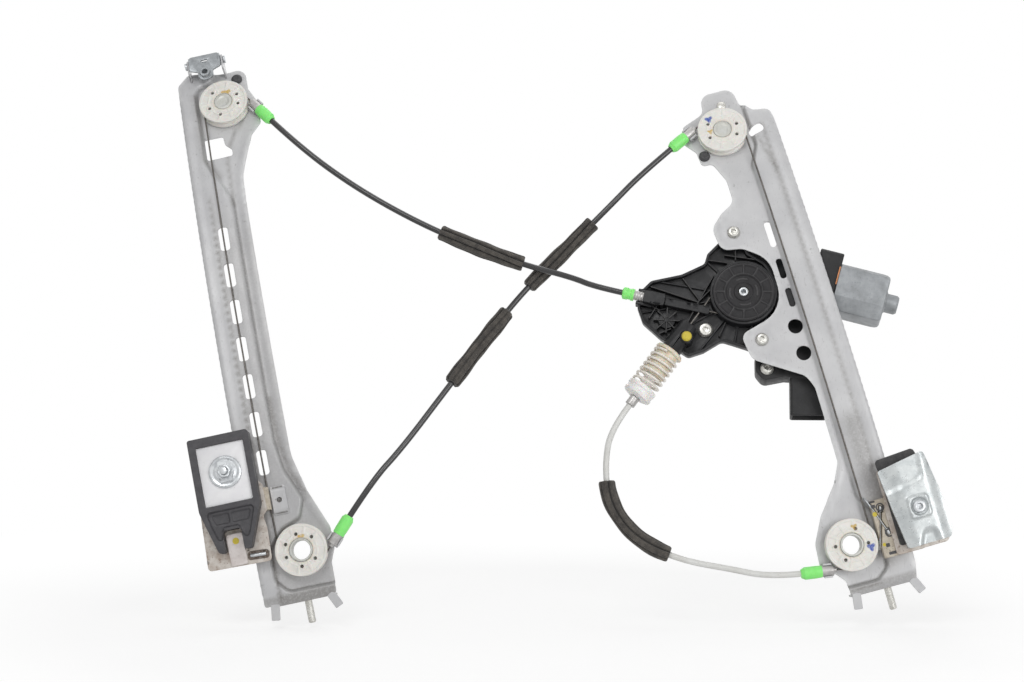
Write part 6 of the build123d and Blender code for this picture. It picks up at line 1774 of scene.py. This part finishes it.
@dataclass
class LeftCarrier:
    """Glass clamp of the left rail: frame, bright plate, washer, nut, bolt and tongue."""

    window: tuple[float, float, float, float] = (-66.5, 46.0, -27.5, 93.0)
    back: float = 9.5
    front: float = 20.5
    bolt: tuple[float, float] = (-46.0, 70.6)

    def frame_piece(self) -> bpy.types.Object:
        """Moulded frame: a rim round the window, and a sunk apron with two pockets below it.

        Returns:
            The frame.
        """
        loop = rounded([(-62, 9, 3), (-56.8, 9, 2), (-56.8, 26, 3), (-41.4, 26, 3), (-41.4, 9, 2),
                        (-36, 9, 3), (-23, 42, 9), (-22.5, 100, 2.5), (-72, 100, 2), (-72, 43, 9)])
        left, low, right, high = self.window
        window = rounded([(left, low, 1.5), (right, low, 1.5), (right, high, 1.5), (left, high, 1.5)], 4)
        apron = Step(rounded([(-67, 41.5, 3), (-59, 13, 3), (-55.2, 28.5, 2), (-42.6, 28.5, 2), (-38, 13, 3),
                              (-27.5, 41.5, 3)]), -2.2, 1.4)
        pockets = [Step(rounded([(-63.5, 39, 1.5), (-60.5, 31.5, 1.5), (-49.5, 31.5, 1.5), (-49.5, 39, 1.5)]),
                        -1.4, 1.0),
                   Step(rounded([(-47.2, 39, 1.5), (-47.2, 31.5, 1.5), (-34.5, 31.5, 1.5), (-31.5, 39, 1.5)]),
                        -1.4, 1.0)]
        steps = [apron, *pockets]
        piece = Piece("left_clamp_moulding")
        slab(piece, LEFT.point, loop, [window], lambda p: self.front + sum(s.at(p) for s in steps), self.back,
             1.5, [s.loop for s in steps], (-0.6, 0, 0.6))
        floor = rounded([(left - 1, low - 1, 0), (right + 1, low - 1, 0), (right + 1, high + 1, 0),
                         (left - 1, high + 1, 0)], 2)
        ledge = rounded([(left + 2.2, low + 2, 1), (right - 2.2, low + 2, 1), (right - 2.2, high - 2, 1),
                         (left + 2.2, high - 2, 1)], 3)
        slab(piece, LEFT.point, floor, [ledge], flat_at(16.45), self.back, 3.0)
        return piece.build(CLAMP_PLASTIC, "left_clamp_frame", sharp=55)

    def plate(self) -> None:
        """Steel plate behind the frame, with painted shade in its sunk slot, and the roller in that slot."""
        loop = rounded([(-75, -2, 3), (-23.5, -3.5, 3), (-22.5, 22, 8), (-24, 32, 4), (-20, 36, 3),
                        (-20, 56, 4), (-27, 66, 8), (-27, 97, 4), (-68, 97, 5), (-71, 60, 8), (-73, 44, 6)])
        sink = Step(slot_outline(-33.5, 3.2, 17, 6.6, 2.2, -4), -1.1, 0.6)
        piece = Piece("left_carrier_pressing")
        slab(piece, LEFT.point, loop, [circle(*self.bolt, 4.0)], lambda p: self.back + sink.at(p), 8.0, 1.8,
             [sink.loop], (-0.4, 0.4), soot=lambda p: np.clip(sink.at(p) / -1.1, 0, 1))
        piece.build(STAINED_PLATE, "left_carrier_plate", soften=0.3, sharp=50)
        roller = Piece("left_slot_roller")
        place = LEFT.face(-33.5, 3.2, self.back - 0.4).turned(-4)
        rod(roller, place.at(np.linspace(-6.2, 6.2, 9), np.zeros(9), np.zeros(9)), place.z, 1.5, 20)
        roller.build(ZINC, "left_carrier_plate", Role.TRIM, sharp=50)

    def build(self) -> None:
        """Make the clamp's pieces."""
        self.frame_piece()
        for node, finish, soften in (("left_clamp_plate", BRIGHT_PLATE, 0.5), ("left_clamp_nut", ZINC, 0.5),
                                     ("left_clamp_bolt", ZINC, 0.4), ("left_slider", SLIDER, 0.5),
                                     ("left_cable_anchor", SLIDER, 0.5)):
            softened(node, finish, soften)
        self.plate()
        x, h = self.bolt
        flat_nut = Piece("left_plate_nut")
        slab(flat_nut, LEFT.face(x, h, 20.9).at,
             rounded([(-4.6, -8.6, 1), (4.6, -8.6, 1), (5.8, -2.5, 4), (5.8, 2.5, 4), (4.6, 8.6, 1),
                      (-4.6, 8.6, 1), (-5.8, 2.5, 4), (-5.8, -2.5, 4)]), [circle(0, 0, 3.05, 24)],
             flat_at(1.5), 0.0, 2.0)
        flat_nut.build(ZINC, "left_clamp_nut", Role.TRIM, soften=0.3, sharp=50)
        washer = Piece("left_dished_washer")
        lathe(
            washer, LEFT.face(*self.bolt, 18.5),
            [(3.05, 0, 0.2), (13.2, 0, 0.3), (13.2, 1.2, 0.5), (11.6, 2.0, 0.8), (9.6, 1.5, 0.6),
             (7.6, 2.4, 0.5), (3.05, 2.5, 0.2)],
            80)
        washer.build(ZINC, "left_clamp_washer")
        tongue = Piece("left_spring_tongue")
        slab(tongue, LEFT.point, rounded([(-55.8, -2, 1), (-42.4, -2, 1), (-42.4, 23, 2), (-55.8, 23, 2)]),
             [], lambda p: 12.5 - 1.6 * (1 - eased((p[:, 1] - 3) / 6)), self.back, 1.4)
        tongue.build(TONGUE, "left_tongue", soften=0.4, sharp=50)
        dot = Piece("left_tongue_paint_dot")
        lathe(dot, LEFT.face(-48.6, 17.0, 12.5), [(0, -0.3, 0), (2.7, -0.3, 0.1), (2.7, 0.05, 0.1),
                                                  (1.8, 0.22, 0.3), (0, 0.26, 0)], 24)
        dot.build(YELLOW, "left_tongue", Role.TRIM)


@dataclass
class RightCarrier:
    """Glass clamp of the right rail: shoe, cable tails, plate, rubber pad and pressed cover."""

    bolt: tuple[float, float] = (57.0, 15.3)
    start: float = 17.1
    end: float = 23.1

    def cover(self) -> bpy.types.Object:
        """Pressed cover: a raised middle between two bends, a square boss and a notch at its foot.

        Returns:
            The cover.
        """
        loop = rounded([(40, -14, 2.5), (76, -13, 3), (79.5, 2, 7), (76.5, 28, 20), (72.5, 56, 3),
                        (33.5, 49, 2), (36, 20, 20)])
        x, h = self.bolt
        boss = Step(slot_outline(x, h, 17, 17, 2.5), 1.4, 1.2)
        dish = Step(circle(x, h, 6.8), -1.2, 1.2)
        notch = Step(rounded([(50, -16, 1), (66, -16, 1), (64, -4, 3), (55, -4, 3)]), -2.4, 3.0)
        step = Step(rounded([(30, 30, 0), (49, 33, 6), (66, 36, 6), (69, 60, 0), (30, 60, 0)]), -1.1, 4.0)

        def front(p: Array) -> Array:
            """Level: the cover's front less both bends, with boss, dish, notch and step.

            Args:
                p: Flat points.

            Returns:
                A level per point.
            """
            left = 2.6 * eased((49 - p[:, 0]) / 13)
            right = 4.2 * eased((p[:, 0] - 66.5) / 12)
            return self.end - left - right + boss.at(p) + dish.at(p) + notch.at(p) + step.at(p)

        piece = Piece("right_clamp_pressing")
        slab(piece, RIGHT.point, loop, [circle(x, h, 3.4)], front, self.start, 1.7, [boss.loop, dish.loop],
             (-0.6, 0, 0.6))
        foot = rounded([(41, -14, 0.5), (75, -13, 0.5), (75.5, -10.5, 0.5), (41, -11.5, 0.5)], 3)
        slab(piece, RIGHT.point, foot, [], flat_at(self.start + 0.4), 9.5, 2.0)
        return piece.build(CLAMP_COVER, "right_clamp_cover", sharp=50)

    def hole_shades(self) -> None:
        """Flat dark patches on the shoe's face that are painted shade in its holes: two square ones, and a
        ring round each cable nipple.
        """
        piece = Piece("right_shoe_sockets")
        level = 8.0
        for across, height, wide, tall in ((24.4, 24.4, 3.2, 2.6), (27.1, -7.4, 3.2, 3.0),
                                           (29.4, -14.0, 6.5, 2.2), (24.6, 28.0, 4.2, 1.6)):
            slab(piece, RIGHT.point, slot_outline(across, height, wide, tall, 0.5), [],
                 flat_at(level + 0.08), level - 0.5, 2.0)
        for across, height in ((29.4, 22.6), (30.9, 1.8)):
            lathe(piece, RIGHT.face(across, height, level),
                  [(2.3, -0.5, 0.1), (3.5, -0.5, 0.1), (3.5, 0.08, 0.1), (2.3, 0.08, 0.1)], 28)
        piece.build(BLACK_PLUG_AND_HOLE_SHADE, "right_slider", Role.TRIM, sharp=50)
        spots = Piece("right_shoe_paint_spots")
        for across, height, size in ((23.9, 18.2, 1.9), (24.6, -6.4, 1.5)):
            lathe(spots, RIGHT.face(across, height, level),
                  [(0, -0.3, 0), (size, -0.3, 0.1), (size, 0.05, 0.1), (0, 0.16, 0)], 20)
        spots.build(YELLOW, "right_slider", Role.TRIM, sharp=50)

    def build(self) -> None:
        """Make the clamp's pieces."""
        self.cover()
        self.hole_shades()
        for node, finish, soften in (("right_slider", SLIDER, 0.5),
                                     ("right_carrier_plate", STAINED_PLATE, 0.4),
                                     ("right_clamp_pad", RUBBER, 0.4), ("right_clamp_bolt", ZINC, 0.4),
                                     ("right_cable_tails", ZINC, 0.15)):
            softened(node, finish, soften)


def fasteners() -> None:
    """Make the plugs, studs and the bracket at the top of the left rail."""
    plugs = Piece("domed_plugs")
    for rail, across, height in ((LEFT, 13.2, 402.0), (RIGHT, -20.5, 338.6)):
        lathe(plugs, rail.face(across, height, -TRAY_DEPTH),
              [(0, -5.5, 0), (2, -5.5, 0.3), (3.8, -2.7, 0.4), (3, -1.5, 0.2), (3, 0, 0.1), (4.7, 0, 0.3),
               (4.7, 1.4, 0.6), (3.4, 3.2, 1.2), (2.0, 3.3, 0.4), (1.6, 2.9, 0.3), (0, 2.9, 0)], 40)
    plugs.build(BLACK_PLUG_AND_HOLE_SHADE, "locating_plugs")
    softened("mounting_studs", BOLT_ZINC, 0.3)
    softened("top_bracket", DULL_ZINC, 0.12)
    softened("top_bracket_pin", ZINC, 0.3)
    softened("top_bracket_nut", DULL_ZINC, 0.4)


def inner_works() -> None:
    """Dress the CAD nodes inside the drive, which show only when it is opened."""
    for node, finish in (("worm_wheel", WHEEL), ("worm_shaft", DARK_STEEL), ("commutator", COPPER),
                         ("armature_core", DARK_STEEL), ("magnets", MAGNET), ("brushes", BRUSH),
                         ("connector_pins", COPPER), ("tension_pin", CAP)):
        materials = frame["nodes"][node].data.materials
        materials.clear()
        materials.append(finish.material())
        LOG.info("%s keeps its CAD shape, finish %s", node, finish.name)


# Studio


@dataclass
class Studio:
    """Camera at the photograph's angle, pale floor, white surroundings and soft lamps."""

    camera_place: tuple[float, float, float] = (-0.30112, -1.50396, 0.1976)
    lens: float = 1875 / 1024 * 36
    floor_gap: float = 0.004
    ambient: float = 0.30
    floor_shadow: float = 0.5
    floor_glow: float = 1.32
    glow_near: float = 0.35
    glow_far: float = 0.9
    under: tuple[float, float, float] = (-0.3, 0.05, 0)
    middle: tuple[float, float, float] = (-0.3, 0.03, 0.18)

    def camera(self) -> None:
        """Level camera that looks along +Y."""
        data = bpy.data.cameras.new("camera")
        data.lens, data.sensor_width, data.clip_start, data.clip_end = self.lens, 36, 0.05, 60
        made = shown("camera", data)
        made.location, made.rotation_euler = self.camera_place, (np.pi / 2, 0, 0)
        bpy.context.scene.camera = made

    def seen(self, tree: bpy.types.NodeTree) -> bpy.types.NodeSocket:
        """One for camera, glossy and transmission rays, nought for the rays that light things.

        Args:
            tree: Node tree of the material or world.

        Returns:
            The output socket.
        """
        path = add_node(tree, "ShaderNodeLightPath")
        rays = {0: path.outputs["Is Camera Ray"], 1: path.outputs["Is Glossy Ray"]}
        either = add_node(tree, "ShaderNodeMath", {}, rays, operation="MAXIMUM").outputs[0]
        rays = {0: either, 1: path.outputs["Is Transmission Ray"]}
        return add_node(tree, "ShaderNodeMath", {}, rays, operation="MAXIMUM").outputs[0]

    def world(self) -> None:
        """White to the eye and in reflections, softer as a light."""
        world = bpy.data.worlds.new("white_room")
        bpy.context.scene.world = world
        world.use_nodes = True
        tree = world.node_tree
        tree.nodes.clear()
        soft, white = (
            add_node(tree, "ShaderNodeBackground", {"Color": (1, 1, 1, 1), "Strength": s}).outputs[0]
            for s in (self.ambient, 1.0))
        mixed = add_node(tree, "ShaderNodeMixShader", {}, {0: self.seen(tree), 1: soft, 2: white}).outputs[0]
        add_node(tree, "ShaderNodeOutputWorld", {}, {"Surface": mixed})

    def floor(self) -> None:
        """Pale floor just under the studs, which keeps a soft shadow."""
        size = np.linspace(-8000, 8000, 5)
        x, y = np.meshgrid(size, size)
        level = CAD_BOX[0].z / MM - self.floor_gap / MM
        mesh = bpy.data.meshes.new("floor")
        points = np.stack([x - 300, y, np.full_like(x, level)], -1)
        mesh.from_pydata((points.reshape(-1, 3) * MM).tolist(), [], grid_faces(5, 5, False, False).tolist())
        made = shown("floor", mesh)
        material = bpy.data.materials.new("white_paper_floor")
        material.use_nodes = True
        tree = material.node_tree
        tree.nodes.clear()
        grain = add_node(tree, "ShaderNodeTexNoise", {"Scale": 60.0, "Detail": 3.0},
                         {"Vector": add_node(tree, "ShaderNodeTexCoord").outputs["Object"]}).outputs[0]
        tone = add_node(tree, "ShaderNodeMix", {6: linear("#f4f4f4"), 7: linear("#f8f8f8")}, {0: grain},
                        data_type="RGBA").outputs[2]
        paper = add_node(tree, "ShaderNodeBsdfDiffuse", {}, {"Color": tone}).outputs[0]
        place = add_node(tree, "ShaderNodeTexCoord").outputs["Object"]
        apart = add_node(tree, "ShaderNodeVectorMath", {1: self.under}, {0: place}, operation="DISTANCE")
        far = apart.outputs["Value"]
        span = {"From Min": self.glow_near, "From Max": self.glow_far, "To Max": 1.0}
        glowing = add_node(tree, "ShaderNodeMapRange", {**span, "To Min": 1 - self.floor_shadow},
                           {"Value": far}).outputs["Result"]
        level = add_node(tree, "ShaderNodeMapRange", {**span, "To Min": self.floor_glow},
                         {"Value": far}).outputs["Result"]
        glow = add_node(tree, "ShaderNodeEmission", {"Color": (1, 1, 1, 1)}, {"Strength": level}).outputs[0]
        both = {0: self.seen(tree), 1: glowing}
        share = add_node(tree, "ShaderNodeMath", {}, both, operation="MULTIPLY").outputs[0]
        mixed = add_node(tree, "ShaderNodeMixShader", {}, {0: share, 1: paper, 2: glow}).outputs[0]
        add_node(tree, "ShaderNodeOutputMaterial", {}, {"Surface": mixed})
        mesh.materials.append(material)

    def lamp(self, name: str, place: tuple[float, float, float], size: float, watts: float) -> None:
        """Square area lamp that faces the middle of the regulator.

        Args:
            name: Its name.
            place: Where it stands, in metres.
            size: Length of a side in metres.
            watts: Its strength.
        """
        data = bpy.data.lights.new(name, "AREA")
        data.size, data.energy = size, watts
        made = shown(name, data)
        made.location = place
        middle = Vector(self.middle)
        made.rotation_euler = (middle - Vector(place)).to_track_quat("-Z", "Y").to_euler()

    def build(self) -> None:
        """Set up camera, world, floor and lamps."""
        self.camera()
        self.world()
        self.floor()
        self.lamp("key_lamp", (-0.75, -1.5, 1.35), 0.8, 8.6)
        self.lamp("fill_lamp", (0.8, -1.5, 0.5), 1.0, 10.5)
        self.lamp("top_lamp", (-0.2, 0.3, 1.5), 0.9, 3)
        self.lamp("back_lamp", (-0.3, 1.6, 0.9), 1.2, 4)
        bpy.context.scene.view_settings.view_transform = "Standard"


def main() -> None:
    """Build the regulator's looks in order, then the studio."""
    logging.basicConfig(level=logging.INFO, format="%(message)s")
    Studio().build()
    for conduit in CONDUITS:
        conduit.build()
    conduit_ends()
    cables()
    both_rails()
    for pulley in PULLEYS:
        pulley.build()
    axles()
    Drive().build()
    LeftCarrier().build()
    RightCarrier().build()
    fasteners()
    inner_works()


if __name__ == "__main__":
    main()
